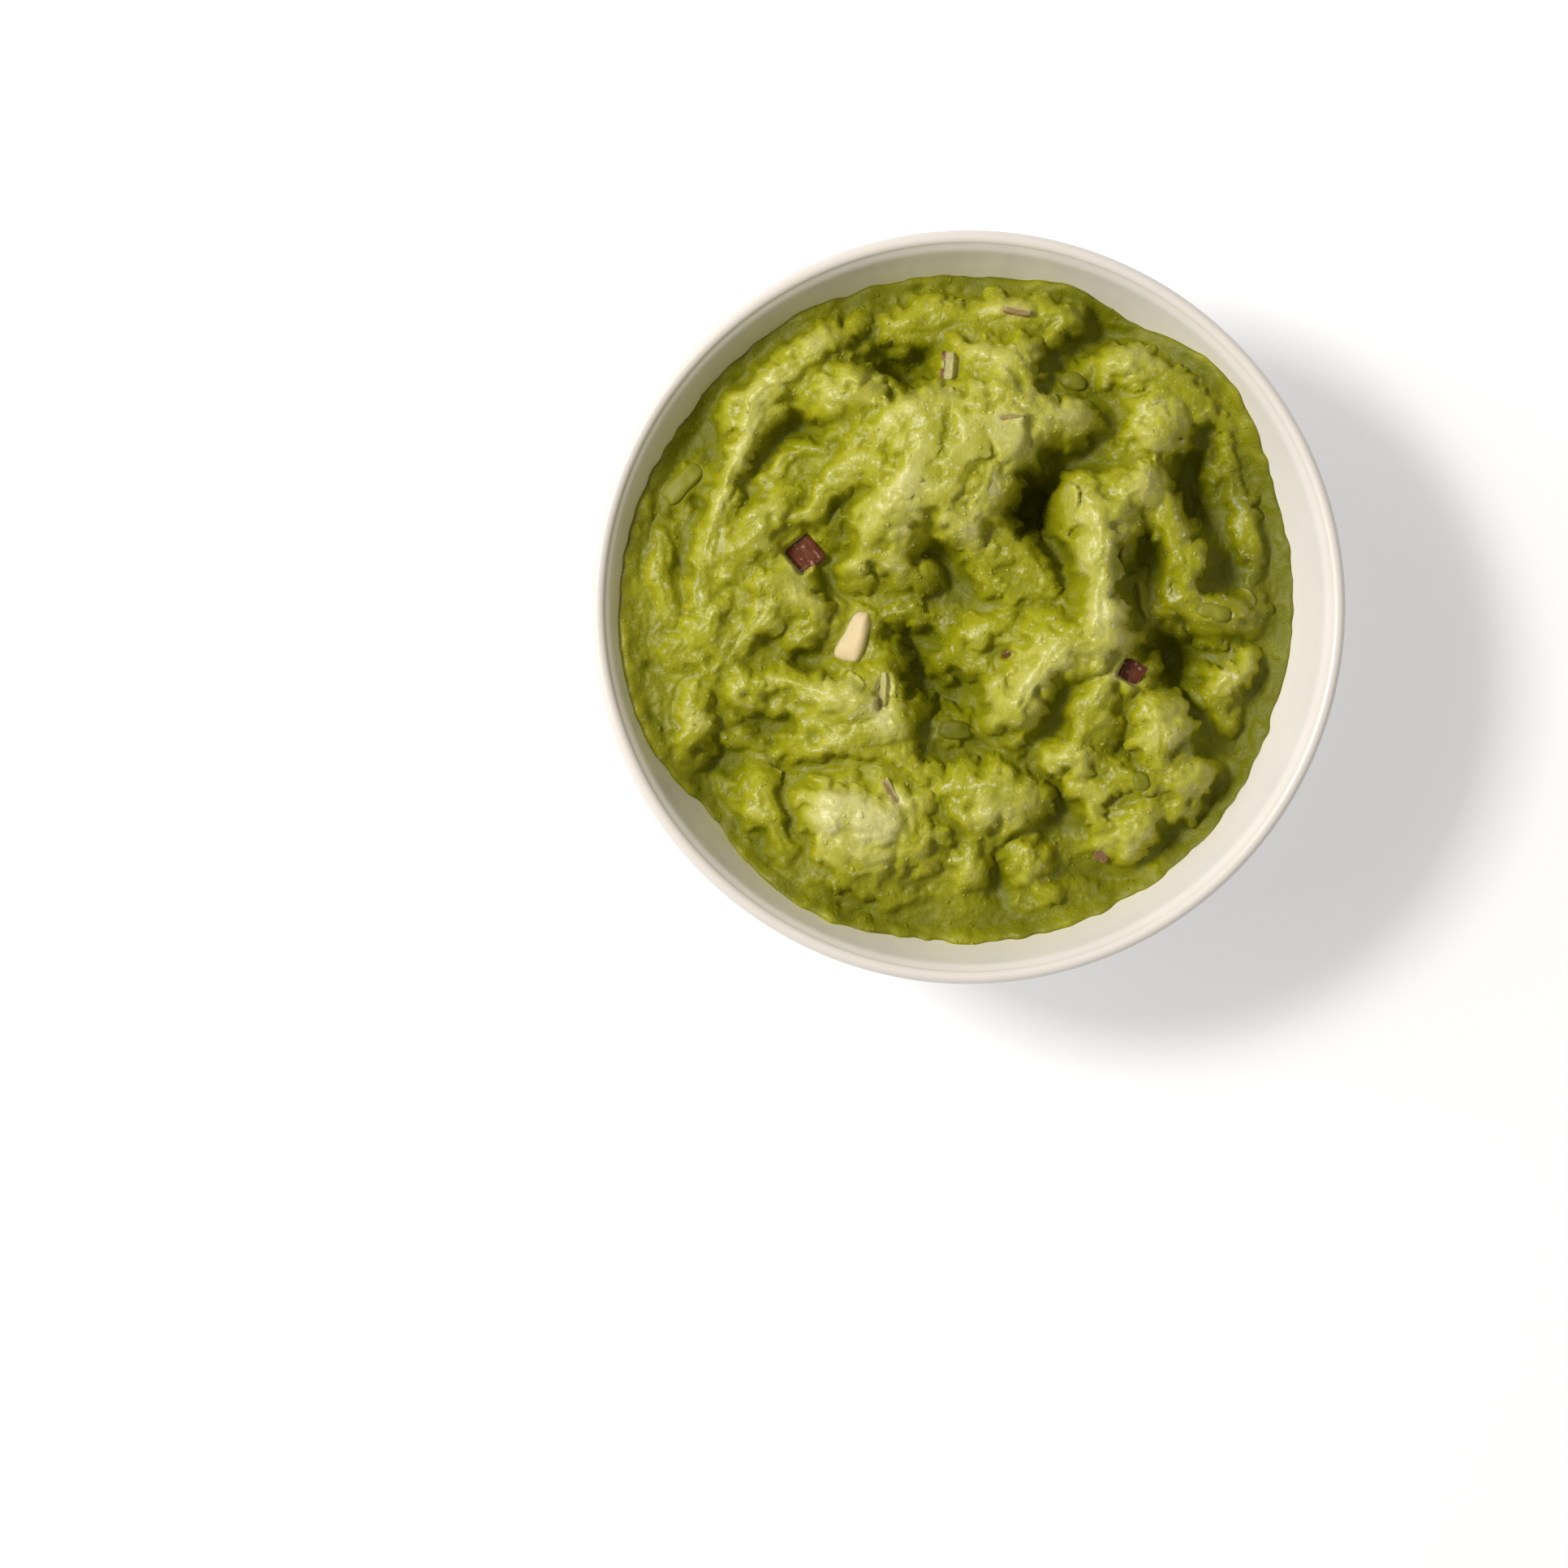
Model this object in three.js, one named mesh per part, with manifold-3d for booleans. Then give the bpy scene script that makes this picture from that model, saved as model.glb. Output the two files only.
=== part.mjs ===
// A small round serving bowl heaped with chunky guacamole: mashed avocado, spooned in and
// folded over itself, with diced red onion and a few whole bits of avocado showing on top.
// Millimetres, +Z up. The origin is on the table, under the middle of the bowl's foot.
import * as THREE from 'three';
import { ImprovedNoise } from 'three/addons/math/ImprovedNoise.js';
import { mergeVertices } from 'three/addons/utils/BufferGeometryUtils.js';
import Module from 'manifold-3d';

const wasm = await Module();
wasm.setup();

// ---- Driving dimensions ------------------------------------------------------------------

const RIM_RADIUS = 57.5; // outside of the bowl's lip
const BOWL_HEIGHT = 44;
const LIP = 2.1; // thickness of the rounded lip
const FLOOR_TOP = 5.5; // the inside of the floor
const FLARE = 18; // how much of the radius comes from the straight slant of the wall
const INNER_ROUNDNESS = 2.6;
const OUTER_ROUNDNESS = 2.9;
const OUTER_BOTTOM = 0.5; // where the outer curve would end if there were no foot
const FOOT_RADIUS = 27;
const FOOT_WIDTH = 3.6;
const FOOT_TOP = 6.6; // where the foot runs out into the wall
const FOOT_BEVEL = 0.8; // its lower edges are taken off by this much
const FOOT_RECESS = 2.6; // how far the underside is hollowed inside the foot ring
const BOWL_SEGMENTS = 56;
const LIP_STEPS = 4;
const INNER_SHARES = [0.02, 0.08, 0.18, 0.32, 0.5, 0.7, 0.86]; // rows of points up the inner wall
const OUTER_SHARES = [0.75, 0.52, 0.34, 0.23]; // and down the outer wall

const GAP = 0.35; // clearance between touching pieces
const MASH_RINGS = 34; // ring i of the mash's top has 6 i points
const MASH_SIDE_SEGMENTS = 54;
const SIDE_SHARES = [0.9, 0.72, 0.5, 0.3, 0.14, 0.04]; // rows of points down its side
const SIDE_GAP = 1.6 * GAP; // flat facets against a round wall need a little more room
const MASH_MIDDLE = 38.6; // the height of the mash between its folds
const MASH_EDGE = 34.8; // the mean height at which it meets the wall
const MASH_LEAN = 3.2; // it stands this much higher on the -X side, and lower on the +X side
const MASH_CROWN = 2.4; // how late, going outwards, it turns down to its edge

const degrees = THREE.MathUtils.degToRad;
const lerp = THREE.MathUtils.lerp;
const smoothstep = THREE.MathUtils.smoothstep;

// ---- The bowl: one piece of glazed stoneware, thrown round, on a low foot ring ------------

// Radius of a bowl curve at height z: a round bottom that runs out into a slanting wall.
function curveRadius(z, bottom, rim, roundness) {
  const rise = THREE.MathUtils.clamp((z - bottom) / (BOWL_HEIGHT - bottom), 0, 1);
  return (rim - FLARE) * Math.sqrt(1 - (1 - rise) ** roundness) + FLARE * rise;
}

const innerRadius = (z) => curveRadius(z, FLOOR_TOP, RIM_RADIUS - LIP, INNER_ROUNDNESS);
const outerRadius = (z) => curveRadius(z, OUTER_BOTTOM, RIM_RADIUS, OUTER_ROUNDNESS);

// The height at which the inner wall has this radius.
function wallHeight(radius) {
  let [low, high] = [FLOOR_TOP, BOWL_HEIGHT];
  for (let i = 0; i < 30; i++) {
    const middle = (low + high) / 2;
    if (innerRadius(middle) < radius) low = middle;
    else high = middle;
  }
  return low;
}

function bowlGeometry() {
  const profile = [];
  const add = (r, z) => profile.push(new THREE.Vector2(r, z));
  const lipCentre = BOWL_HEIGHT - LIP / 2;

  add(0, FLOOR_TOP);
  for (const share of INNER_SHARES) {
    const z = lerp(FLOOR_TOP, lipCentre, share);
    add(innerRadius(z), z);
  }
  for (let i = 0; i <= LIP_STEPS; i++) {
    const turn = Math.PI * (1 - i / LIP_STEPS);
    add(RIM_RADIUS - LIP / 2 + (LIP / 2) * Math.cos(turn), lipCentre + (LIP / 2) * Math.sin(turn));
  }
  for (const share of OUTER_SHARES) add(outerRadius(share * BOWL_HEIGHT), share * BOWL_HEIGHT);
  add(FOOT_RADIUS + FOOT_BEVEL / 2, FOOT_TOP);
  add(FOOT_RADIUS, FOOT_BEVEL);
  add(FOOT_RADIUS - FOOT_BEVEL, 0);
  add(FOOT_RADIUS - FOOT_WIDTH + FOOT_BEVEL, 0);
  add(FOOT_RADIUS - FOOT_WIDTH, FOOT_RECESS);
  add(0, FOOT_RECESS);
  return new THREE.LatheGeometry(profile.reverse(), BOWL_SEGMENTS).rotateX(Math.PI / 2);
}

// ---- The mash's surface: a height over every point of the bowl ---------------------------

// Where the edge of the mash stands higher or lower on the wall than its even slant.
const EDGE_SWELLS = [
  { angle: 42, spread: 13, rise: 4.6 },
  { angle: 71, spread: 8, rise: 2.4 },
  { angle: 192, spread: 22, rise: 1.2 },
  { angle: 219, spread: 10, rise: -3.4 },
  { angle: 243, spread: 8, rise: 1.2 },
  { angle: 345, spread: 16, rise: -1.0 },
];

function edgeHeight(angle) {
  let z = MASH_EDGE - MASH_LEAN * Math.cos(angle);
  for (const swell of EDGE_SWELLS) {
    const away = Math.abs(((THREE.MathUtils.radToDeg(angle) - swell.angle + 540) % 360) - 180);
    z += swell.rise * Math.exp(-((away / swell.spread) ** 2));
  }
  return z;
}

// The big spoonfuls that all the rest lies on: [x, y, half length, half width, turn, top].
const SPOONFULS = [
  [-9, 20, 15, 11, 25, 47.4], [-33, 9, 13, 9, 65, 42], [-30, 34, 11, 7, 42, 41.6],
  [-16, -32.6, 11, 8, -8, 42.6], [3, -30, 10, 5.4, 0, 41], [20, 4, 13, 4.8, 95, 45.8],
  [9, -13, 8, 6.4, 30, 43.8], [22, -22, 9, 8, 0, 40.6], [29, 33, 13, 6.4, -12, 41.4],
  [-4, 43, 14, 5.4, 0, 40], [7, 7, 8, 5, -40, 42.8], [-37, -5, 9, 8, 60, 41],
  [-20, -16, 10, 7, 0, 42],
];

// Folds are crests left by the spoon. A crest is a line of [x, y, height] points, and the mash
// falls off it over one width on its left and another on its right, looking along the line.
const FOLDS = [
  // the main mass, dragged up and over from the left to the back
  { left: 2.8, right: 6,
    crest: [[-15, 27, 46.8], [-9, 30, 48.6], [-2, 32, 49.6], [7, 32, 49.4], [13, 31, 48.4]] },
  { left: 3.2, right: 5.6,
    crest: [[-5, 27, 50.6], [-7.5, 20, 51], [-9.8, 14, 49], [-10.6, 9, 46.8]] },
  { left: 3.6, right: 1.7,
    crest: [[0, 28, 51.4], [-3, 21.5, 51.8], [-3.8, 16, 50.2], [-2.4, 11.6, 48]] },
  { left: 2.8, right: 1.8, crest: [[1.6, 22, 51], [0.8, 15, 49.6], [0.3, 8.6, 46.8]] },
  { left: 3.2, right: 3, crest: [[1, 27.6, 51.6], [5, 25.6, 51.4], [7, 23, 50.2]] },
  { left: 3.2, right: 3.6, crest: [[9, 29, 50], [14, 29.5, 48.8], [15.4, 26.6, 47]] },
  { left: 2, right: 2, crest: [[3.2, 19.6, 48.8], [4.6, 15.6, 47.6]] },
  { left: 2.6, right: 3, crest: [[-24.6, 15.6, 43.8], [-21, 21, 45.4], [-16, 25, 47]] },
  { left: 1.8, right: 1.9, crest: [[-31, 19.6, 42.4], [-25, 24.2, 43.4], [-18.6, 26.4, 45]] },
  { left: 2.4, right: 2.8, crest: [[-17.4, 17, 46], [-14.6, 21.4, 48.6]] },
  // the slope below it, torn open on the side of the deep hollow
  { left: 2, right: 5.6,
    crest: [[2.6, 13, 46.2], [7, 10.8, 45.2], [11, 6.6, 44.2], [13.8, 3.4, 43.2]] },
  { left: 2.8, right: 2.2,
    crest: [[1.8, 7.6, 45.2], [2.6, 5, 44.8], [5, 2.4, 43.8], [9.6, 1.8, 43.2]] },
  { left: 2, right: 2, crest: [[-18, 6.2, 44.2], [-13, 7, 44.6]] },
  // the crest that curls round the hollow in the middle
  { left: 4.2, right: 3.6,
    crest: [[17, 17, 46], [21, 13, 48.4], [20.6, 8.4, 48.8], [20, 3, 48.4]] },
  { left: 3.6, right: 2.8, crest: [[20, 4, 48.6], [20.6, -1, 48.8], [20.8, -5.4, 47.4]] },
  { left: 4.4, right: 4.2,
    crest: [[18, -7, 46.8], [13.4, -5.4, 46.4], [10.4, -9.4, 45.8], [7, -15.6, 44.8]] },
  // the fold behind that crest, lower and shaded
  { left: 1.8, right: 4.6,
    crest: [[28.6, 19.6, 44.2], [31, 14, 44], [33.2, 9, 43.4], [34, 3, 42.6], [31.8, -2, 41]] },
  { left: 3, right: 3.2,
    crest: [[42, 17.6, 36.8], [43.6, 11, 36.8], [44, 4, 36], [44.4, -2.4, 35.2]] },
  { left: 2.2, right: 2.2, crest: [[37.4, -12.8, 38], [41, -10.4, 38.8], [43.4, -8.4, 37.4]] },
  // swipes at the left, by the wall
  { left: 3, right: 1.7,
    crest: [[-33.6, 28, 42.8], [-36.6, 21, 43], [-39, 13.6, 43], [-41, 6.6, 42.6], [-42.4, 1, 41.8]] },
  { left: 2.8, right: 2.8, crest: [[-46.4, 10, 40], [-47, 5, 40.8], [-46.2, 0.6, 40.6]] },
  { left: 4.8, right: 4.4, crest: [[-36, 7.6, 43], [-31, 11.4, 44], [-27.6, 15, 44.2]] },
  { left: 2.6, right: 2.2, crest: [[-26.4, 3, 43.6], [-24.4, 0, 43.4], [-22.4, -2, 42.8]] },
  { left: 1.9, right: 2.4, crest: [[-28.4, -10.8, 42], [-22.4, -13, 43]] },
  { left: 3.4, right: 2.4, crest: [[-41.6, -12.6, 40.6], [-42.4, -18, 41], [-43.8, -24.4, 39.6]] },
  { left: 2.6, right: 2.4, crest: [[-27, -21, 41.2], [-22, -21.6, 42.2], [-17, -20, 42.8]] },
  // the back left, heaped against the wall
  { left: 4.6, right: 5.2, crest: [[-34, 31, 42.6], [-28.4, 35.6, 43.4], [-22.6, 40, 42.6]] },
  // the front, scraped level by the spoon's edge
  { left: 1.7, right: 2.4,
    crest: [[-25, -42.6, 39], [-17, -41.2, 40], [-10, -40, 40.4], [-7, -37.4, 40.8]] },
  { left: 1.9, right: 1.9,
    crest: [[-38.4, -26.6, 36.8], [-36, -31.4, 37.2], [-32.6, -37.6, 37.4]] },
  { left: 2, right: 2,
    crest: [[-31, -27, 39.4], [-29.8, -32, 40], [-28.4, -38, 39.6], [-29.6, -40, 38.8]] },
  { left: 3.2, right: 3.8, crest: [[-2.4, -28.6, 42], [3, -27.2, 42.8], [9, -28.6, 42]] },
  { left: 1.8, right: 1.4, crest: [[11, -31, 40.8], [6, -34, 41], [1.6, -35.2, 40.4]] },
  { left: 1.3, right: 1.4, crest: [[3, -22.4, 41.4], [10.6, -21.2, 42]] },
  // the front right
  { left: 2.4, right: 2.2,
    crest: [[24, -12.6, 44], [20.4, -12.6, 44.8], [17.6, -15.4, 44.4], [17, -18, 43.4]] },
  { left: 4.2, right: 3, crest: [[28.2, -16, 43.4], [28.4, -20, 43.6], [28, -24, 42]] },
  { left: 1.6, right: 3.4, crest: [[30, -25.4, 41.8], [34, -25, 41.4], [37.6, -25.2, 39.8]] },
  { left: 2, right: 1.8, crest: [[20, -32.4, 41.2], [21.4, -35.4, 41], [24.6, -37.4, 40.4]] },
];

// Lumps are pieces of avocado that kept their shape: [x, y, half length, half width, turn, top].
const LUMPS = [
  // back left
  [-21.6, 31.6, 3.6, 2.6, 70, 46.2], [-17.4, 33, 4.2, 3.8, 20, 47.4], [-13.4, 32.6, 2.6, 2.2, 0, 46.4],
  [-18, 42.6, 3.6, 3, 0, 41.2], [-14.4, 46.4, 3.4, 2.2, 10, 38.8], [-15.6, 12.4, 3, 3.4, 10, 46],
  // back
  [-10, 43.4, 4, 2.4, 20, 41], [-3.6, 45, 4.2, 3.2, 0, 41], [5.4, 45.6, 4.8, 3.4, -5, 41.2],
  [14.6, 44.4, 4.2, 3.4, 70, 41], [1, 42.8, 2.4, 2.2, 0, 41.2], [6.6, 41.8, 2.8, 2.2, 0, 41.8],
  [11.6, 41, 2.6, 2, 0, 41], [7.4, 37, 4.4, 4.2, 0, 46.6], [1.4, 37.8, 4.4, 2.6, 0, 46],
  // back right
  [24, 36.4, 6.2, 4.2, -8, 43], [35, 33, 6, 4.6, 28, 41.4], [40, 28.4, 3.2, 3.8, 0, 40.4],
  [28, 26.4, 4.6, 2.5, -22, 45.2], [28.6, 31, 2.8, 2.1, 0, 44], [19, 27.4, 3, 4, 0, 44],
  [22, 23, 4.2, 2.4, 0, 43.6], [25.2, 17.8, 5, 3.4, -10, 46], [39, 22.6, 4, 4.2, 0, 37.8],
  // middle and right
  [17, 15, 3.6, 3, 20, 47.2], [24, 12.4, 2.2, 3.2, 0, 47.4], [-8, 4.6, 4.4, 3, 10, 43.8],
  [3, -3.6, 6, 3.6, 10, 43], [9, -4, 2.2, 3.4, -30, 43.8], [-9, -1, 2.4, 1.8, 0, 43],
  [8, -15, 4.8, 4.8, 0, 45.6], [22.6, -7.6, 2.4, 2.6, 0, 45.6], [36.8, -0.8, 3.4, 2.8, -8, 39.8],
  [41, -3.6, 3, 1.8, 30, 36.8], [-2, -8.6, 2.4, 2, 0, 40.8], [1.8, -9, 1.8, 2.4, 0, 41],
  // left
  [-30.6, 3, 3.6, 4.4, 10, 43.8], [-31, -2, 3.8, 3.6, 0, 43.2], [-39, -1.6, 5, 4.6, 20, 42.6],
  [-38.4, -7.8, 4.4, 3.4, 10, 41.8], [-45, -6.8, 3.8, 4.4, 60, 41], [-34, -12.4, 3.6, 4, 0, 42],
  [-26.2, -5, 2, 2.2, 0, 42.8], [-18, -14, 6.6, 5.8, -20, 44.2], [-12, -17.6, 4.4, 4.4, 0, 43.4],
  [-11.6, -22, 4.6, 2.8, 0, 42.4], [-7.6, -25, 4, 2.4, -10, 41.4], [-36.4, -20, 2.2, 3.2, 0, 39],
  // front left
  [-20.4, -30.6, 6, 5, -10, 43.2], [-14, -33, 7, 5.4, -10, 43], [-19, -37, 5.4, 3.4, -10, 42.2],
  [-7.6, -35, 3.8, 3, 30, 42.4], [-8.6, -30.6, 3.6, 2.6, 20, 42.2], [-28, -42, 4.8, 2.4, -15, 38.4],
  [-19, -45.6, 5, 2.2, -12, 36.8], [-12, -44, 6, 3, 0, 38.4], [-33, -30.4, 1.8, 3, -20, 38.8],
  // front
  [3.6, -32.4, 4.2, 2.8, 25, 42.2], [-0.6, -31, 2.6, 2.4, 0, 42], [0.6, -23.6, 2, 1.7, 0, 41.6],
  [0.4, -39.4, 3, 3.4, 0, 40], [9.2, -39, 3.8, 4, 0, 40], [12, -44.2, 3.6, 2, 20, 38.2],
  [-5, -38.4, 2.4, 1.6, 10, 40], [-6, -43.6, 3, 2.2, 0, 37.8], [-2, -47, 4, 2.2, 0, 36.2],
  [18, -45, 5, 2, 22, 36.8],
  // front right
  [20, -17.2, 2.8, 2.6, 0, 44], [15.6, -23, 4.8, 4, 0, 43.6], [22.8, -25.6, 3.4, 2, 70, 42.6],
  [19, -28.4, 2.8, 2.8, 0, 42], [26, -33, 3.6, 3.8, 0, 41.4], [33, -30.4, 3.4, 3.6, 30, 40.4],
  [41, -18, 3, 4.8, -12, 35], [38, -15.6, 2.6, 1.8, 0, 36.8],
];

// Hollows and gashes between them: [x, y, half length, half width, turn, depth].
const HOLLOWS = [
  [10, 15.5, 3.8, 6.6, -12, 7], [14, 7, 3.6, 2.6, -50, 4.5], [-9, 36, 5.6, 3.2, -12, 6],
  [-24, 27, 2.4, 2.6, 20, 4], [16, 36.5, 4.4, 3, -60, 4], [20.6, 43, 3.6, 4.2, 40, 4],
  [34.8, 17, 2.6, 9, 6, 4], [27.4, 8, 1.8, 5.4, 0, 4.5], [31, -7.5, 3.4, 5.4, 12, 5.5],
  [-8.6, -6.6, 4.2, 6.8, 14, 6], [-3, -14, 6.4, 4.8, 0, 5.6], [-19, 15.4, 1.9, 3.4, -40, 4],
  [-36.5, 34.5, 12, 2.4, 45, 2.4],
  [17, 23.6, 3.6, 2.4, 0, 3], [-38.4, -22.6, 3.4, 2.6, 0, 3], [-29, -17.6, 4, 1.8, -10, 3],
  [12.8, -31.8, 2.8, 2.8, 0, 4.5], [24.2, -22.2, 2.8, 1.6, -40, 3.5], [35.6, -20.6, 2.2, 2.8, 0, 3],
  [-31, -37.5, 1.7, 1.5, 0, 2.5], [4.4, -7, 2.2, 1.7, 0, 2.5], [14.4, -14.4, 1.5, 5.5, -38, 3.5],
  [3, -20.6, 7.4, 1.2, 8, 2.4], [4.6, -42.4, 2.2, 2.6, 0, 2.5], [-43.4, 5.4, 1.2, 4.8, 4, 2.5],
  [28.4, -26.6, 1.4, 2.6, 10, 3], [-25.6, -8, 5, 1.4, -8, 2.5], [-27, -31.4, 3.4, 1.4, -74, 2],
  [-7.6, 9.4, 2, 1.4, 0, 2.5], [-1.8, 9.4, 1.3, 1.8, 0, 3],
];

const BLEND = 0.6; // how softly one lump runs into the next
const ROUNDNESS = 2.3; // a dome's section: 2 is a ball's, more is flatter on top
const ROUND_SHARE = 0.92; // how far out a dome is round
const FOLD_DEPTH = 5; // how deep a fold falls on each side
const CREST_STEPS = 4; // how finely its line is curved
const LUMP_DEPTH = 1.5; // how deep a lump falls, for its half width
const SPOONFUL_DEPTH = 0.9; // the same for a spoonful
const HOLLOW_WALL = 0.8; // a hollow's section: 1 is a bowl's, less has steeper sides
const RAGGED = { far: 1.1, size: 4, seeds: [3.7, 11.2] }; // how every outline is pulled about
const GRAIN = { rise: 0.5, size: 2.2, seed: 5.1 }; // the fine roughness of the mash
const WALL_FIT = 0.93; // from this share of the radius on, the mash runs out to its edge
const noise = new ImprovedNoise();

// The higher of two heights, rounded where they cross.
function softMax(a, b) {
  return Math.max(a, b) + Math.max(BLEND - Math.abs(a - b), 0) ** 2 / (4 * BLEND);
}

// How far out a point lies in a turned ellipse: 0 in the middle, 1 on its edge.
function ellipseShare(x, y, [centreX, centreY, halfLength, halfWidth, turn]) {
  const c = Math.cos(degrees(turn));
  const s = Math.sin(degrees(turn));
  const [dx, dy] = [x - centreX, y - centreY];
  return Math.hypot((dx * c + dy * s) / halfLength, (dy * c - dx * s) / halfWidth);
}

// A dome falls off round, and from near its edge on like a straight slope.
function domeDrop(share, depth) {
  const round = Math.min(share, ROUND_SHARE);
  const left = 1 - round ** ROUNDNESS;
  const slope = round ** (ROUNDNESS - 1) * left ** (1 / ROUNDNESS - 1);
  return depth * (1 - left ** (1 / ROUNDNESS) + (share - round) * slope);
}

// Height of a lump at (x, y).
function lumpHeight(x, y, lump, depth) {
  const [, , halfLength, halfWidth, , top] = lump;
  return top - domeDrop(ellipseShare(x, y, lump), depth * Math.min(halfLength, halfWidth));
}

const foldLines = FOLDS.map(({ left, right, crest }) => {
  const curve = new THREE.CatmullRomCurve3(crest.map((point) => new THREE.Vector3(...point)));
  return { left, right, points: curve.getPoints(CREST_STEPS * crest.length) };
});

// Height of a fold at (x, y).
function foldHeight(x, y, { left, right, points }) {
  let best = -Infinity;
  for (let i = 1; i < points.length; i++) {
    const [a, b] = [points[i - 1], points[i]];
    const [alongX, alongY] = [b.x - a.x, b.y - a.y];
    const length = Math.hypot(alongX, alongY);
    const along = ((x - a.x) * alongX + (y - a.y) * alongY) / length ** 2;
    const t = THREE.MathUtils.clamp(along, 0, 1);
    const [awayX, awayY] = [x - lerp(a.x, b.x, t), y - lerp(a.y, b.y, t)];
    const away = Math.hypot(awayX, awayY);
    const side = away > 0 ? (alongX * awayY - alongY * awayX) / (length * away) : 0;
    const half = lerp(right, left, (side + 1) / 2);
    best = Math.max(best, lerp(a.z, b.z, t) - domeDrop(away / half, FOLD_DEPTH));
  }
  return best;
}

// A repeatable draw of numbers from 0 to 1.
function seededRandom(seed) {
  let state = seed;
  return () => {
    state = (state * 1664525 + 1013904223) % 4294967296;
    return state / 4294967296;
  };
}

// Small soft lumps, everywhere in the mash: half widths, and how far their tops stand out.
const CRUMB = { count: 130, reach: 49, small: 1.4, large: 2.4, stretch: 1.5, rise: 0.7, seed: 20 };
const crumbs = [];

// The mash without its small lumps.
function formHeight(x, y) {
  const { far, size, seeds } = RAGGED;
  const warpX = x + far * noise.noise(x / size, y / size, seeds[0]);
  const warpY = y + far * noise.noise(x / size, y / size, seeds[1]);
  const angle = Math.atan2(y, x);
  const edge = edgeHeight(angle);
  const share = Math.min(Math.hypot(x, y) / (innerRadius(edge) - GAP), 1);

  let z = lerp(MASH_MIDDLE, edge, share ** MASH_CROWN);
  for (const spoonful of SPOONFULS) {
    z = softMax(z, lumpHeight(warpX, warpY, spoonful, SPOONFUL_DEPTH));
  }
  for (const fold of foldLines) z = softMax(z, foldHeight(warpX, warpY, fold));
  for (const lump of LUMPS) z = softMax(z, lumpHeight(warpX, warpY, lump, LUMP_DEPTH));
  for (const hollow of HOLLOWS) {
    const away = ellipseShare(warpX, warpY, hollow);
    if (away < 1) z -= hollow[5] * (1 - away ** 2) ** HOLLOW_WALL;
  }
  return z;
}

// The mash with all its lumps, as it would lie with no bits in it.
function surfaceHeight(x, y) {
  let z = formHeight(x, y);
  for (const crumb of crumbs) z = softMax(z, lumpHeight(x, y, crumb, LUMP_DEPTH));
  z += GRAIN.rise * noise.noise(x / GRAIN.size, y / GRAIN.size, GRAIN.seed);
  const radius = Math.hypot(x, y);
  const edge = edgeHeight(Math.atan2(y, x));
  const edgeRadius = innerRadius(edge) - GAP;
  z = lerp(z, edge, smoothstep(radius, WALL_FIT * edgeRadius, edgeRadius));
  return Math.max(z, wallHeight(radius + GAP) + GAP);
}

const random = seededRandom(CRUMB.seed);
for (let i = 0; i < CRUMB.count; i++) {
  const radius = CRUMB.reach * Math.sqrt(random());
  const angle = 2 * Math.PI * random();
  const [x, y] = [radius * Math.cos(angle), radius * Math.sin(angle)];
  const half = lerp(CRUMB.small, CRUMB.large, random() ** 2);
  const halfLength = half * lerp(1, CRUMB.stretch, random());
  const turn = 180 * random();
  crumbs.push([x, y, halfLength, half, turn, formHeight(x, y) + CRUMB.rise * random()]);
}

// ---- Bits in the mash: diced red onion, and avocado that the fork missed -----------------

// at: its middle; turn: about the vertical; tip: about its own X and Y; sink: below the surface.
const ONION = [
  { name: 'onion_dice_left', size: [5.2, 5, 3], at: [-25, 8.3], turn: 38, tip: [6, -8], sink: 0.5 },
  { name: 'onion_dice_right', size: [4, 3.8, 2.8], at: [25, -9.8], turn: -28, tip: [4, 10], sink: 0 },
  { name: 'onion_sliver_front', size: [5.6, 3, 1.3], at: [-11.6, -28.6], turn: -57, tip: [84, 0], sink: 0.5 },
  { name: 'onion_sliver_back', size: [4.4, 3, 1.2], at: [7.4, 45], turn: -10, tip: [76, 0], sink: 0.5 },
  { name: 'onion_sliver_middle', size: [5, 3, 1.4], at: [6, 28.4], turn: 4, tip: [70, 0], sink: 0.4 },
  { name: 'onion_dice_back', size: [5, 4, 2.4], at: [-2.4, 36.6], turn: 84, tip: [62, 0], sink: 0.6 },
  { name: 'onion_stick', size: [6.4, 2.6, 1.9], at: [-12.7, -13], turn: 86, tip: [58, 0], sink: 0.4 },
  { name: 'onion_bit_middle', size: [3, 2.8, 1.6], at: [6.2, -7.2], turn: 24, tip: [40, 10], sink: 0.3 },
  { name: 'onion_bit_front', size: [2.6, 2.6, 1.6], at: [20.8, -37.6], turn: -20, tip: [40, 0], sink: 0.3 },
  { name: 'onion_bit_back', size: [3, 2.6, 1.6], at: [3.6, 17.6], turn: 55, tip: [30, 12], sink: 0.2 },
];
const AVOCADO = [
  { name: 'avocado_chunk_cream', size: [5.4, 9, 5], at: [-17, -4.4], turn: -22, tip: [0, -20], sink: 1 },
  { name: 'avocado_slice_left', size: [4, 7.8, 3], at: [-43.6, 19], turn: -44, tip: [0, -18], sink: 0.7 },
  { name: 'avocado_slice_right', size: [2.8, 8, 3], at: [26.8, 1.6], turn: 12, tip: [0, 30], sink: 0.5 },
  { name: 'avocado_chunk_side', size: [6.6, 3.4, 3.2], at: [37.4, -0.6], turn: -8, tip: [0, 0], sink: 0.2 },
  { name: 'avocado_chunk_middle', size: [6, 3.8, 2.8], at: [-2, -18.6], turn: -4, tip: [-10, 0], sink: 0.6 },
  { name: 'avocado_chunk_back', size: [5.6, 3.4, 2.8], at: [16, 34.6], turn: -12, tip: [0, 0], sink: 0.6 },
  { name: 'avocado_chunk_front', size: [3.8, 3.4, 2.8], at: [26.4, -26.6], turn: 20, tip: [0, 0], sink: 0.1 },
];
const CLEARING = 0.46; // how much of its own width the mash stays off each side of a bit's middle
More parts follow.
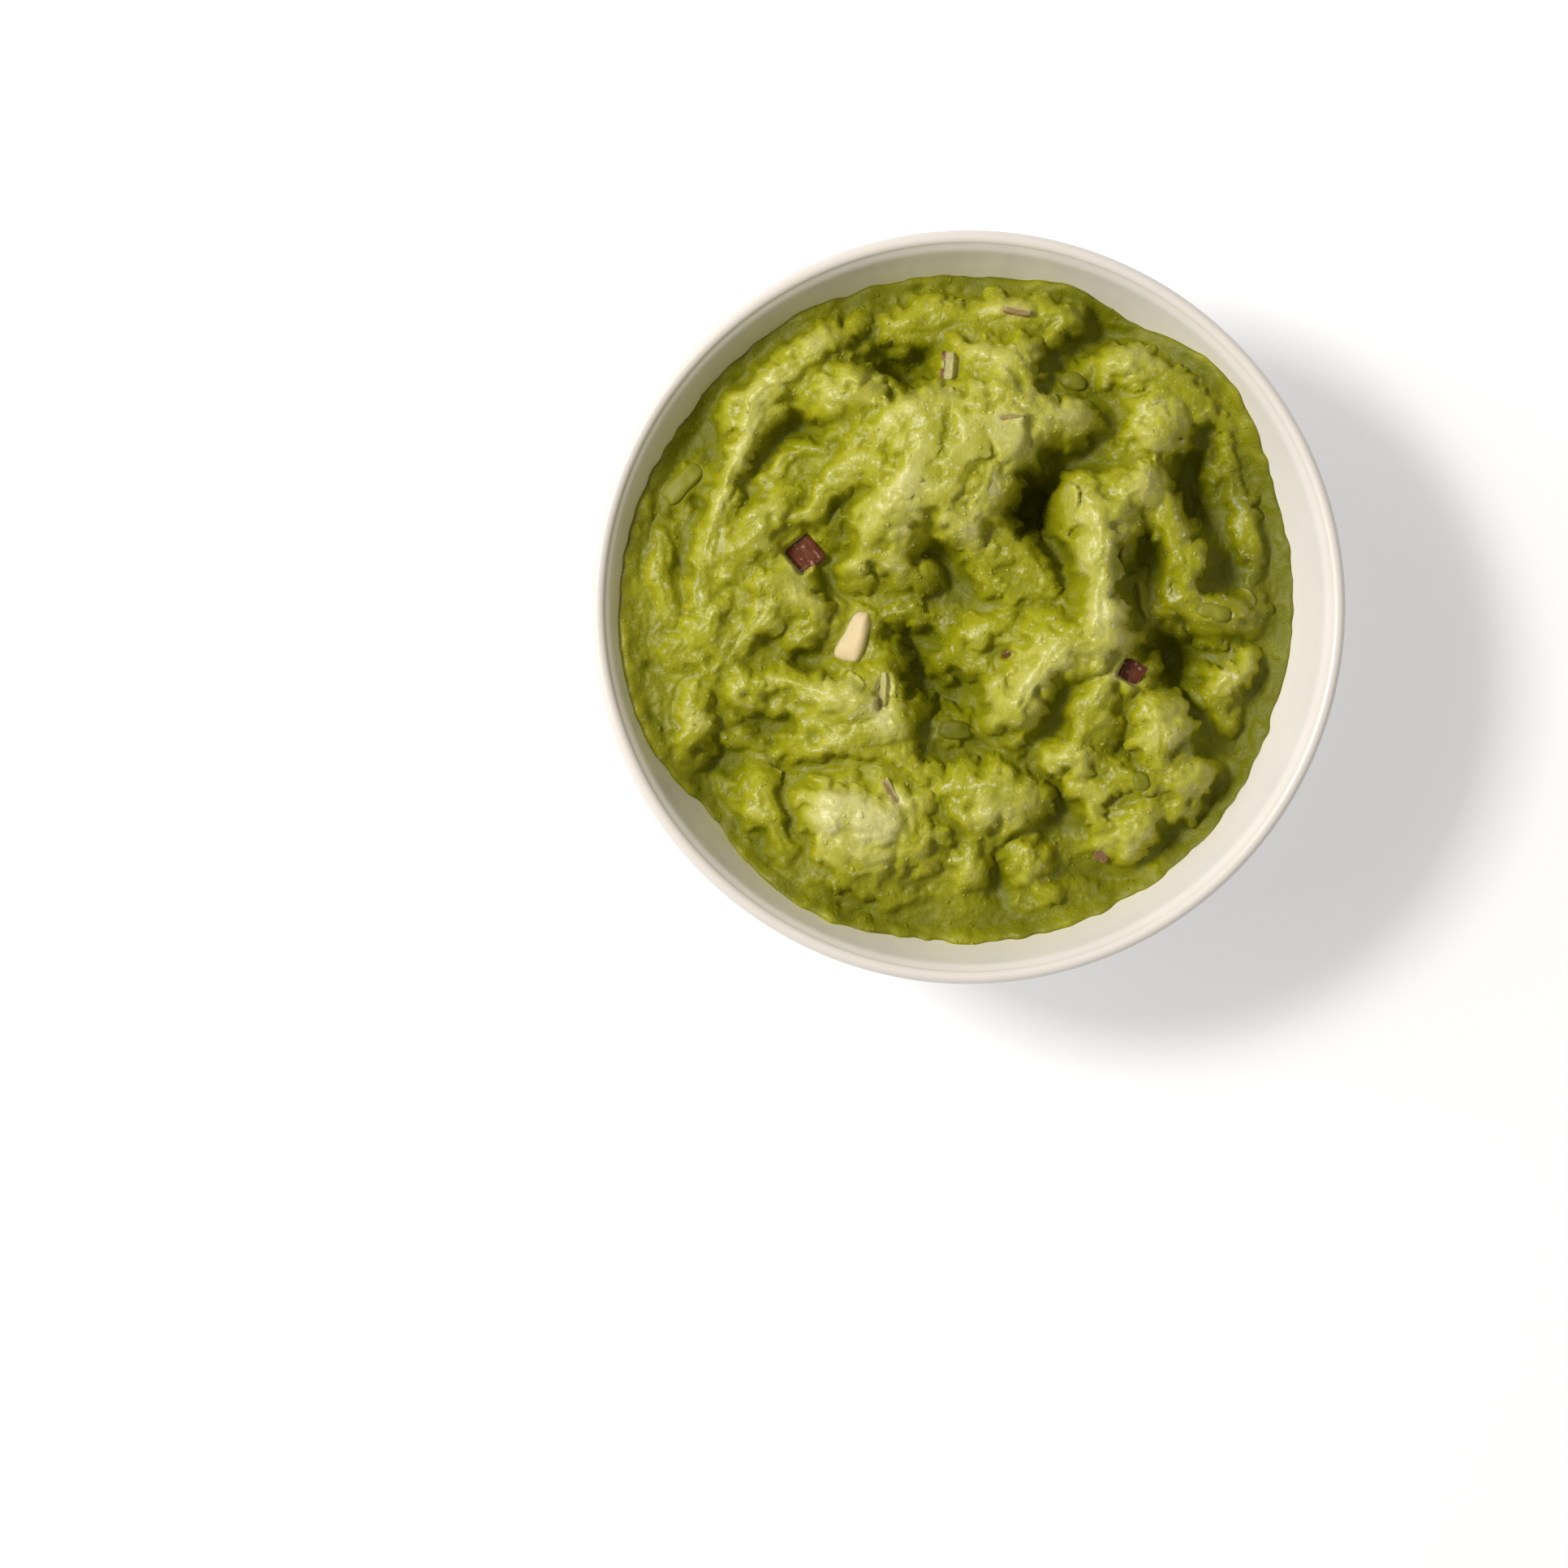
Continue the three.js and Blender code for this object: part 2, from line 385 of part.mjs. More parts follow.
const CLEARING_SLOPE = 2.6; // the mash rises this steeply from there
const OVERLAP = 0.2; // the mash may reach this far above a bit's middle
const LAYER_RADIUS = 16; // an onion's layers are this round
const CUT_EDGE = 0.3; // a cut edge is softened by this much
const BLOCKINESS = 0.72; // of a bit of avocado: 1 is an egg, less is more like a block

// Sets a bit in the surface, its middle near the surface there.
function placeOf({ at, turn, tip, sink }) {
  const place = new THREE.Object3D();
  place.rotation.order = 'ZYX';
  place.rotation.set(degrees(tip[0]), degrees(tip[1]), degrees(turn));
  place.position.set(...at, surfaceHeight(...at) - sink);
  place.updateMatrix();
  return place;
}

// The ellipse that a bit takes up, seen from above.
function footprintOf({ at, turn, tip, size: [width, length, thick] }) {
  const tipped = degrees(tip[0]);
  const depth = length * Math.abs(Math.cos(tipped)) + thick * Math.abs(Math.sin(tipped));
  return [...at, CLEARING * width, CLEARING * depth, turn];
}

const bits = [...ONION, ...AVOCADO].map((bit) => (
  { ...bit, place: placeOf(bit), footprint: footprintOf(bit) }
));

// The mash never covers the middle of a bit.
function mashHeight(x, y) {
  let z = surfaceHeight(x, y);
  for (const { place, footprint } of bits) {
    const away = (ellipseShare(x, y, footprint) - 1) * Math.min(footprint[2], footprint[3]);
    z = Math.min(z, place.position.z + OVERLAP + CLEARING_SLOPE * Math.max(away, 0));
  }
  return z;
}

// ---- Solids ------------------------------------------------------------------------------

function solidOf(geometry) {
  const bare = geometry.clone();
  for (const name of Object.keys(bare.attributes)) {
    if (name !== 'position') bare.deleteAttribute(name);
  }
  const merged = mergeVertices(bare, 1e-3);
  return new wasm.Manifold(new wasm.Mesh({
    numProp: 3,
    vertProperties: merged.attributes.position.array,
    triVerts: new Uint32Array(merged.index.array),
  }));
}

function geometryOf(solid) {
  const mesh = solid.getMesh();
  const geometry = new THREE.BufferGeometry();
  geometry.setAttribute('position', new THREE.BufferAttribute(new Float32Array(mesh.vertProperties), 3));
  geometry.setIndex(new THREE.BufferAttribute(new Uint32Array(mesh.triVerts), 1));
  geometry.computeVertexNormals();
  return geometry;
}

// The mash: its top is a disc of rings, even in size, and its underside follows the bowl.
function mashSolid() {
  const positions = [];
  const triangles = [];
  const addPoint = (x, y, z) => positions.push(x, y, z) / 3 - 1;

  let inner = [addPoint(0, 0, mashHeight(0, 0))];
  for (let ring = 1; ring <= MASH_RINGS; ring++) {
    const count = 6 * ring;
    const outer = [];
    for (let i = 0; i < count; i++) {
      const angle = (2 * Math.PI * i) / count;
      const radius = (innerRadius(edgeHeight(angle)) - GAP) * (ring / MASH_RINGS);
      const [x, y] = [radius * Math.cos(angle), radius * Math.sin(angle)];
      outer.push(addPoint(x, y, mashHeight(x, y)));
    }
    stitch(inner, outer, triangles);
    inner = outer;
  }

  // from the edge down the wall, and across the floor
  for (const share of SIDE_SHARES) {
    const row = [];
    for (let i = 0; i < MASH_SIDE_SEGMENTS; i++) {
      const angle = (2 * Math.PI * i) / MASH_SIDE_SEGMENTS;
      const z = lerp(FLOOR_TOP + GAP, edgeHeight(angle), share);
      const radius = innerRadius(z - GAP / 2) - SIDE_GAP;
      row.push(addPoint(radius * Math.cos(angle), radius * Math.sin(angle), z));
    }
    stitch(inner, row, triangles);
    inner = row;
  }
  const bottom = addPoint(0, 0, FLOOR_TOP + GAP);
  inner.forEach((point, i) => triangles.push(point, bottom, inner[(i + 1) % inner.length]));

  const geometry = new THREE.BufferGeometry();
  geometry.setAttribute('position', new THREE.BufferAttribute(new Float32Array(positions), 3));
  geometry.setIndex(triangles);
  return solidOf(geometry);
}

// Joins two closed rows of points, of any counts, with triangles.
function stitch(inner, outer, triangles) {
  let [i, j] = [0, 0];
  while (i < inner.length || j < outer.length) {
    const innerNext = (i + 1) / inner.length;
    const outerNext = (j + 1) / outer.length;
    const a = inner[i % inner.length];
    const b = outer[j % outer.length];
    if (inner.length > 1 && i < inner.length && (innerNext <= outerNext || j >= outer.length)) {
      triangles.push(a, b, inner[(i + 1) % inner.length]);
      i += 1;
    } else if (j < outer.length) {
      triangles.push(a, b, outer[(j + 1) % outer.length]);
      j += 1;
    } else break;
  }
}

// A cut piece of one layer of an onion: a slice of a round shell, with softened edges.
function onionGeometry([width, length, thick], grow = 0) {
  const half = (width / 2 + grow) / LAYER_RADIUS;
  const [left, right] = [Math.PI / 2 + half, Math.PI / 2 - half];
  const shape = new THREE.Shape();
  shape.absarc(0, -LAYER_RADIUS, LAYER_RADIUS + grow, left, right, true);
  shape.absarc(0, -LAYER_RADIUS, LAYER_RADIUS - thick - grow, right, left, false);
  const depth = length + 2 * grow - 2 * CUT_EDGE;
  const geometry = new THREE.ExtrudeGeometry(shape, {
    depth,
    curveSegments: 2,
    bevelThickness: CUT_EDGE,
    bevelSize: CUT_EDGE,
    bevelOffset: -CUT_EDGE,
    bevelSegments: 1,
  });
  return geometry.translate(0, thick / 2, -depth / 2).rotateX(Math.PI / 2);
}

// A bit of avocado that the fork missed: a rounded block.
function avocadoGeometry([width, length, thick], grow = 0) {
  const geometry = new THREE.IcosahedronGeometry(1, 1);
  const position = geometry.attributes.position;
  const square = (v) => Math.sign(v) * Math.abs(v) ** BLOCKINESS;
  for (let i = 0; i < position.count; i++) {
    position.setXYZ(
      i,
      square(position.getX(i)) * (width / 2 + grow),
      square(position.getY(i)) * (length / 2 + grow),
      square(position.getZ(i)) * (thick / 2 + grow),
    );
  }
  return geometry;
}

// ---- The part ----------------------------------------------------------------------------

const glaze = new THREE.MeshStandardMaterial({ color: 0xf3eee6, roughness: 0.25, metalness: 0 });
const avocadoGreen = new THREE.MeshStandardMaterial({ color: 0x9aa52c, roughness: 0.4, metalness: 0 });
const onionPurple = new THREE.MeshStandardMaterial({ color: 0x6b3040, roughness: 0.35, metalness: 0 });
const avocadoPale = new THREE.MeshStandardMaterial({ color: 0xc9c27c, roughness: 0.4, metalness: 0 });

const guacamoleBowl = new THREE.Group();

function addPiece(name, geometry, material, place) {
  const mesh = new THREE.Mesh(geometry, material);
  mesh.name = name;
  if (place) {
    mesh.position.copy(place.position);
    mesh.quaternion.copy(place.quaternion);
  }
  guacamoleBowl.add(mesh);
}

addPiece('bowl', bowlGeometry(), glaze);

let mash = mashSolid();
for (const { name, size, place } of bits) {
  const isOnion = name.startsWith('onion');
  const shapeOf = isOnion ? onionGeometry : avocadoGeometry;
  const pocket = shapeOf(size, GAP).applyMatrix4(place.matrix);
  mash = mash.subtract(solidOf(pocket));
  addPiece(name, shapeOf(size), isOnion ? onionPurple : avocadoPale, place);
}
const scraps = mash.decompose();
mash = scraps.reduce((largest, scrap) => (scrap.volume() > largest.volume() ? scrap : largest));
addPiece('guacamole', geometryOf(mash), avocadoGreen);

export default guacamoleBowl;
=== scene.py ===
import math

import bmesh
import bpy
import numpy as np
from mathutils import Matrix, Vector, noise
from mathutils.bvhtree import BVHTree


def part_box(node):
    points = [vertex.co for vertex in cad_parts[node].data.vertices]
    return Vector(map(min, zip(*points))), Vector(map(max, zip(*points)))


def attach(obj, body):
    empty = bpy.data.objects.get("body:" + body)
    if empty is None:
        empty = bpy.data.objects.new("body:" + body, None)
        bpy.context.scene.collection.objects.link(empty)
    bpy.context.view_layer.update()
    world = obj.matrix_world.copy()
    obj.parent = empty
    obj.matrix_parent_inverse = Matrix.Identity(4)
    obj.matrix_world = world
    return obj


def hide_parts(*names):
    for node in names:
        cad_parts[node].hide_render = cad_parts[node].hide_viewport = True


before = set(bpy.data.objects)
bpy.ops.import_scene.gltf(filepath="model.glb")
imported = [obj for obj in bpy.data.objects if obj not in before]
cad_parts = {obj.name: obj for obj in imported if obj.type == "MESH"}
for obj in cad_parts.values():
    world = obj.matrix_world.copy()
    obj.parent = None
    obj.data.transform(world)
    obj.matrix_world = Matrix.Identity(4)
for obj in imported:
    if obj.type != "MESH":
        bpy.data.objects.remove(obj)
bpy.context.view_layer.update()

# ---- The view and the light --------------------------------------------------------------
# A small bowl on a white table, looked down on from straight above, a little off the middle of the
# frame. A big soft light stands at the left, as a window would, and white walls fill the rest.

MM = 0.001  # metres
FRAME_PIXELS = 1932
BOWL_PIXEL = (1193.5, 748.0)  # where the middle of the lip shows in the frame
FRAME_WIDTH = 238.9 * MM  # what the frame spans at the height of the lip
CAMERA_DISTANCE = 900 * MM  # above the lip
SENSOR = 36.0
LIP_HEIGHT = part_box("bowl")[1].z

camera_data = bpy.data.cameras.new("camera")
camera_data.sensor_width = SENSOR
camera_data.lens = SENSOR * CAMERA_DISTANCE / FRAME_WIDTH
camera_data.clip_end = 10
camera = bpy.data.objects.new("camera", camera_data)
metres_per_pixel = FRAME_WIDTH / FRAME_PIXELS
camera.location = (
    (FRAME_PIXELS / 2 - BOWL_PIXEL[0]) * metres_per_pixel,
    (BOWL_PIXEL[1] - FRAME_PIXELS / 2) * metres_per_pixel,
    LIP_HEIGHT + CAMERA_DISTANCE,
)
bpy.context.scene.collection.objects.link(camera)
bpy.context.scene.camera = camera


def soft_light(name, azimuth, elevation, distance, size, watts, colour):
    """A square lamp that looks at the bowl. Azimuth is counted from +X towards +Y."""
    data = bpy.data.lights.new(name, "AREA")
    data.shape, data.size, data.energy, data.color = "SQUARE", size, watts, colour
    turn, rise = math.radians(azimuth), math.radians(elevation)
    away = Vector((math.cos(turn) * math.cos(rise), math.sin(turn) * math.cos(rise), math.sin(rise)))
    lamp = bpy.data.objects.new(name, data)
    lamp.location = away * distance
    lamp.rotation_euler = (-away).to_track_quat("-Z", "Y").to_euler()
    bpy.context.scene.collection.objects.link(lamp)


soft_light("key", 160, 54, 2.2, 0.42, 34.0, (1.0, 0.99, 0.975))
soft_light("window", 165, 46, 1.8, 1.4, 11.0, (1.0, 0.99, 0.98))

world = bpy.data.worlds.new("white room")
world.use_nodes = True
world.node_tree.nodes["Background"].inputs["Color"].default_value = (1.0, 0.985, 0.965, 1)
world.node_tree.nodes["Background"].inputs["Strength"].default_value = 0.31
bpy.context.scene.world = world
bpy.context.scene.view_settings.view_transform = "Standard"

FLOOR_HALF = 1.5
floor_mesh = bpy.data.meshes.new("table")
floor_corners = [(x * FLOOR_HALF, y * FLOOR_HALF, 0) for x, y in ((-1, -1), (1, -1), (1, 1), (-1, 1))]
floor_mesh.from_pydata(floor_corners, [], [(0, 1, 2, 3)])
floor = bpy.data.objects.new("table", floor_mesh)
bpy.context.scene.collection.objects.link(floor)
table_paint = bpy.data.materials.new("table white")
table_paint.use_nodes = True
table_surface = table_paint.node_tree.nodes["Principled BSDF"]
table_surface.inputs["Base Color"].default_value = (0.62, 0.62, 0.62, 1)
table_surface.inputs["Roughness"].default_value = 0.8
table_surface.inputs["Emission Color"].default_value = (1, 1, 1, 1)
table_surface.inputs["Emission Strength"].default_value = 0.38
floor_mesh.materials.append(table_paint)

# ---- The bowl ----------------------------------------------------------------------------
# Glazed stoneware, thrown round: a warm white glossy glaze over a thin rounded lip, a wall that
# slants outwards, and a foot ring whose underside is wiped free of glaze and left bare.

BOWL_HEIGHT = 44.0  # from here on, sizes are in millimetres
RIM_RADIUS, LIP = 57.5, 2.1
FLOOR_TOP, OUTER_BOTTOM = 5.5, 0.5
FLARE = 18.0
INNER_ROUNDNESS, OUTER_ROUNDNESS = 2.6, 2.9
FOOT_RADIUS, FOOT_WIDTH, FOOT_RECESS = 27.0, 3.6, 2.6
BOWL_SEGMENTS = 224


def curve_radius(z, bottom, rim, roundness):
    """Radius of a bowl curve at height z: a round bottom that runs out into a slanting wall."""
    rise = np.clip((z - bottom) / (BOWL_HEIGHT - bottom), 0, 1)
    return (rim - FLARE) * np.sqrt(1 - (1 - rise) ** roundness) + FLARE * rise


def inner_radius(z):
    return curve_radius(z, FLOOR_TOP, RIM_RADIUS - LIP, INNER_ROUNDNESS)


def outer_radius(z):
    return curve_radius(z, OUTER_BOTTOM, RIM_RADIUS, OUTER_ROUNDNESS)


def new_object(name, mesh):
    piece = bpy.data.objects.new(name, mesh)
    bpy.context.scene.collection.objects.link(piece)
    return piece


def smooth_mesh(work, name):
    """Turns a bmesh into a smooth-shaded mesh."""
    mesh = bpy.data.meshes.new(name)
    work.to_mesh(mesh)
    work.free()
    mesh.polygons.foreach_set("use_smooth", [True] * len(mesh.polygons))
    return mesh


def lathe(name, profile, segments):
    """Turns a closed profile of (radius, height) points round Z."""
    work = bmesh.new()
    rows = []
    for radius, height in profile:
        if radius < 1e-6:
            rows.append([work.verts.new((0, 0, height * MM))])
            continue
        reach = radius * MM
        turns = [2 * math.pi * i / segments for i in range(segments)]
        ring = [(reach * math.cos(t), reach * math.sin(t), height * MM) for t in turns]
        rows.append([work.verts.new(corner) for corner in ring])
    for low, high in zip(rows, rows[1:]):
        for i in range(segments):
            j = (i + 1) % segments
            corners = [low[i % len(low)], low[j % len(low)], high[j % len(high)], high[i % len(high)]]
            work.faces.new(list(dict.fromkeys(corners)))
    bmesh.ops.recalc_face_normals(work, faces=work.faces)
    return new_object(name, smooth_mesh(work, name))


def rounded_corner(before, corner, after, radius, steps=4):
    """Points that round a profile's corner off."""
    a, c, b = (np.array(p, float) for p in (before, corner, after))
    start = c + (a - c) / np.linalg.norm(a - c) * radius
    end = c + (b - c) / np.linalg.norm(b - c) * radius
    shares = np.linspace(0, 1, steps + 1)
    return [tuple((1 - t) ** 2 * start + 2 * t * (1 - t) * c + t * t * end) for t in shares]


def bowl_profile():
    lip_centre = BOWL_HEIGHT - LIP / 2
    points = [(0, FLOOR_TOP)]
    for share in np.linspace(0, 1, 46)[1:] ** 1.6:
        z = FLOOR_TOP + (lip_centre - FLOOR_TOP) * share
        throwing_ring = 0.05 * math.sin(2 * math.pi * (z - 20) / 3.1) * (share > 0.35) * (share < 0.97)
        points.append((float(inner_radius(z)) + throwing_ring, z))
    for turn in np.linspace(math.pi, 0, 13)[1:-1]:
        reach = RIM_RADIUS - LIP / 2 + LIP / 2 * math.cos(turn)
        points.append((reach, lip_centre + LIP / 2 * math.sin(turn)))
    for z in np.linspace(lip_centre, 10, 26):
        points.append((min(float(outer_radius(z)), RIM_RADIUS), z))
    foot_inside = FOOT_RADIUS - FOOT_WIDTH
    corners = [
        points[-1], (FOOT_RADIUS + 0.4, 6.6), (FOOT_RADIUS, 0.8), (FOOT_RADIUS - 0.8, 0),
        (foot_inside + 0.6, 0), (foot_inside, FOOT_RECESS), (0, FOOT_RECESS),
    ]
    sizes = [1.6, 0.5, 0.3, 0.3, 0.6]
    for before, corner, after, size in zip(corners, corners[1:], corners[2:], sizes):
        points += rounded_corner(before, corner, after, size)
    points.append((0, FOOT_RECESS))
    return points


bowl = lathe("glazed_bowl", bowl_profile(), BOWL_SEGMENTS)


class Nodes:
    """Builds a node tree: node(kind, inputs by name) puts a node in and links or sets its inputs."""

    def __init__(self, tree):
        self.tree = tree

    def node(self, kind, inputs=None, **settings):
        made = self.tree.nodes.new(kind)
        for key, value in settings.items():
            setattr(made, key, value)
        for key, value in (inputs or {}).items():
            self.feed(made.inputs[key], value)
        return made

    def feed(self, socket, value):
        if isinstance(value, bpy.types.NodeSocket):
            self.tree.links.new(value, socket)
        else:
            socket.default_value = value


class Shader(Nodes):
    """Builds one material round its Principled surface."""

    def __init__(self, name):
        self.material = bpy.data.materials.new(name)
        self.material.use_nodes = True
        super().__init__(self.material.node_tree)
        self.surface = self.tree.nodes["Principled BSDF"]

    def set(self, **values):
        for key, value in values.items():
            self.feed(self.surface.inputs[key.replace("_", " ")], value)

    def ramp(self, fac, stops):
        made = self.node("ShaderNodeValToRGB", {"Fac": fac})
        elements = made.color_ramp.elements
        while len(elements) < len(stops):
            elements.new(0.5)
        for element, (position, colour) in zip(elements, stops):
            element.position = position
            element.color = (*colour, 1)
        return made.outputs["Color"]

    def mix(self, factor, a, b):
        return self.node("ShaderNodeMix", {0: factor, 6: a, 7: b}, data_type="RGBA").outputs[2]

    def math(self, operation, a, b):
        return self.node("ShaderNodeMath", {0: a, 1: b}, operation=operation).outputs[0]

    def plus(self, a, b):
        return self.math("ADD", a, b)

    def times(self, a, b):
        return self.math("MULTIPLY", a, b)

    def share(self, value, low, high):
        """0 where the value is low, 1 where it is high."""
        inputs = {"Value": value, "From Min": low, "From Max": high}
        return self.node("ShaderNodeMapRange", inputs).outputs["Result"]

    def noise(self, scale, detail, roughness, where):
        inputs = {"Scale": scale, "Detail": detail, "Roughness": roughness, "Vector": where}
        return self.node("ShaderNodeTexNoise", inputs).outputs["Fac"]

    def bump(self, strength, distance, height):
        inputs = {"Strength": strength, "Distance": distance, "Height": height}
        return self.node("ShaderNodeBump", inputs).outputs["Normal"]

    def painted(self, label, output="Fac"):
        """What the mesh says at each point."""
        return self.node("ShaderNodeAttribute", attribute_name=label).outputs[output]


def glaze_material():
    """Glossy warm white glaze, a little thinner and browner at the lip, bare clay under the foot, and above
    the mash a yellow-green film that is partly a smear and partly painted green bounce light.
    """
    shader = Shader("warm white glaze")
    place = shader.node("ShaderNodeTexCoord").outputs["Object"]
    height = shader.node("ShaderNodeSeparateXYZ", {"Vector": place}).outputs["Z"]
    cloudy = shader.noise(60, 3, 0.5, place)
    white = shader.ramp(cloudy, [(0.3, (0.79, 0.745, 0.695)), (0.7, (0.83, 0.79, 0.745))])
    patches = shader.ramp(shader.noise(190, 3, 0.6, place), [(0.3, (0.45, 0.45, 0.45)), (0.65, (1, 1, 1))])
    # the film above the mash: a smear of it, with painted green bounce light on the shaded side
    white = shader.mix(shader.times(shader.painted("smear_and_bounce"), patches), white, (0.78, 0.70, 0.30, 1))
    lip = shader.share(height, 42.5 * MM, 43.8 * MM)
    white = shader.mix(shader.times(lip, 0.5), white, (0.74, 0.66, 0.55, 1))
    bare = shader.share(height, 0.6 * MM, 0.3 * MM)
    clay = [(0.35, (0.50, 0.41, 0.31)), (0.65, (0.62, 0.53, 0.42))]
    colour = shader.mix(bare, white, shader.ramp(shader.noise(2600, 2, 0.6, place), clay))
    waves = shader.bump(0.25, 0.2 * MM, shader.noise(220, 2, 0.5, place))
    shader.set(Base_Color=colour, Roughness=shader.plus(shader.times(bare, 0.5), 0.16), Normal=waves)
    shader.set(IOR=1.5, Coat_Weight=0.3, Coat_Roughness=0.08)
    return shader.material


bowl.data.materials.append(glaze_material())
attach(bowl, "root")
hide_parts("bowl")

# ---- Red onion ---------------------------------------------------------------------------
# Each bit is a piece of one layer of a red onion, cut with a knife: maroon skin on its outer
# side, pale lilac flesh with fine veins behind it, and edges that are only a little soft.

# Turned about the vertical, tipped about its own X and Y, which side has the skin (0: none), and
# how it lies in the mash: the shares of its length and width left bare, how square the opening
# in the mash is, and how far its top stands out.
ONION_BITS = {
    "onion_dice_left": (38, 6, -8, 1, (1.0, 1.0, 8, 0.7)),
    "onion_dice_right": (-28, 4, 10, 1, (1.0, 1.0, 8, 0.8)),
    "onion_dice_back": (84, 62, 0, -1, (0.9, 0.8, 4, 0.6)),
    "onion_sliver_front": (-57, 84, 0, 1, (0.9, 0.75, 1.5, 0.1)),
    "onion_sliver_back": (-10, 76, 0, 1, (0.85, 0.6, 1.5, 0.1)),
    "onion_sliver_middle": (4, 70, 0, 1, (0.85, 0.55, 1.5, 0.1)),
    "onion_stick": (86, 58, 0, 0, (0.95, 0.8, 3, 0.4)),
    "onion_bit_middle": (24, 40, 10, 1, (0.8, 0.6, 2, 0.3)),
    "onion_bit_front": (-20, 40, 0, 1, (0.55, 0.45, 2, 0.2)),
    "onion_bit_back": (55, 30, 12, 0, (0.7, 0.6, 2, 0.4)),
}
LAYER_RADIUS = 16.0  # how far a layer curves
NO_SKIN = 9.0  # what counts as far from any skin
# how much of its colour each has lost to the mash over it; on onion_bit_back, which lies in shade, the full
# share is painted light as well
FADED_AND_LIGHTENED = {
    "onion_sliver_front": 0.3, "onion_sliver_back": 0.35, "onion_sliver_middle": 0.45,
    "onion_bit_middle": 0.15, "onion_bit_front": 0.15, "onion_stick": 0.35, "onion_bit_back": 1.0,
}
noise.seed_set(7)  # unset, it follows the clock, and each run would give other bits
# openings in the mash, one over each bit: name, x, y, turn, half length, half width, squareness, level
openings = []
shown_bits = []


def rounded_block(cuts, soft):
    """A cube from -1 to 1 with rounded edges, as a bmesh with even squares."""
    work = bmesh.new()
    bmesh.ops.create_cube(work, size=2)
    bmesh.ops.subdivide_edges(work, edges=work.edges, cuts=cuts, use_grid_fill=True)
    for vertex in work.verts:
        core = Vector(max(soft - 1, min(1 - soft, c)) for c in vertex.co)
        vertex.co = core + (vertex.co - core).normalized() * soft
    return work


def set_bit(name, turns, bare, work, roughness, size, taper=0.0):
    """Fits a block to the CAD solid's own box, makes it a little uneven, and puts it in place."""
    turn, tip_x, tip_y = (math.radians(angle) for angle in turns)
    spin = Matrix.Rotation(turn, 3, "Z") @ Matrix.Rotation(tip_y, 3, "Y") @ Matrix.Rotation(tip_x, 3, "X")
    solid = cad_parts[name].data
    corners = np.array([spin.inverted() @ (v.co / MM) for v in solid.vertices])
    low, high = corners.min(axis=0), corners.max(axis=0)
    middle, half = Vector((low + high) / 2), Vector((high - low) / 2)
    length = half.x * abs(math.cos(tip_y)) + half.z * abs(math.sin(tip_y))
    width = half.y * abs(math.cos(tip_x)) + half.z * abs(math.sin(tip_x))
    place = spin @ middle
    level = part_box(name)[1].z / MM - bare[3]
    openings.append((name, place.x, place.y, turn, length * bare[0], width * bare[1], bare[2], level))
    own = []
    for vertex in work.verts:
        local = Vector(a * b for a, b in zip(vertex.co, half))
        local.x *= 1 - taper * (vertex.co.y + 1) / 2
        uneven = noise.noise_vector(local / size + Vector((middle.x, middle.y, 7.0))) * roughness
        local = Vector(c * (1 - roughness / h) for c, h in zip(local, half)) + uneven
        own.append(local.copy())
        if name in ONION_BITS:
            sag = half.x**2 / (2 * LAYER_RADIUS)
            local.z = local.z * (1 - sag / (2 * half.z)) + sag / 2 - local.x**2 / (2 * LAYER_RADIUS)
        vertex.co = (spin @ (local + middle)) * MM
    mesh = smooth_mesh(work, name)
    attribute = mesh.attributes.new("own", "FLOAT_VECTOR", "POINT")
    attribute.data.foreach_set("vector", [c for point in own for c in point])
    shown_bits.append(new_object(name + "_as_cut", mesh))
    return shown_bits[-1], own, half


def paint(mesh, label, values):
    """Stores one number at each point of a mesh, for its material to read."""
    mesh.attributes.new(label, "FLOAT", "POINT").data.foreach_set("value", values)


def onion_material():
    """Raw red onion: maroon skin over pale lilac flesh, with veins along the layer."""
    shader = Shader("red onion")
    own = shader.painted("own", "Vector")
    along_layer = {0: own, 1: (2.6, 0.35, 1.6)}
    stretched = shader.node("ShaderNodeVectorMath", along_layer, operation="MULTIPLY").outputs[0]
    veins = shader.noise(1.0, 3, 0.55, stretched)
    blotch = shader.noise(1.1, 2, 0.5, own)
    peel = shader.ramp(veins, [
        (0.3, (0.098, 0.026, 0.012)), (0.6, (0.18, 0.055, 0.026)), (0.8, (0.34, 0.17, 0.11)),
    ])
    scuffs = shader.ramp(shader.noise(1.1, 3, 0.6, own), [(0.57, (0, 0, 0)), (0.64, (1, 1, 1))])
    peel = shader.mix(shader.times(scuffs, 0.6), peel, (0.50, 0.34, 0.28, 1))
    flesh = shader.ramp(veins, [(0.34, (0.46, 0.43, 0.15)), (0.6, (0.38, 0.34, 0.13))])
    border = shader.plus(shader.painted("under_skin"), shader.times(blotch, 0.5))
    fresh = shader.mix(shader.share(border, 1.0, 1.35), peel, flesh)
    # towards mash yellow: the mash over each bit, and on onion_bit_back also painted light
    colour = shader.mix(shader.painted("faded_and_lightened"), fresh, (0.60, 0.53, 0.2, 1))
    shader.set(Base_Color=colour, Roughness=0.3, Normal=shader.bump(0.35, 0.15 * MM, veins))
    shader.set(Subsurface_Weight=0.5, Subsurface_Scale=0.0012, Subsurface_Radius=(1.0, 0.7, 0.5))
    shader.set(IOR=1.36, Specular_IOR_Level=0.3)
    return shader.material


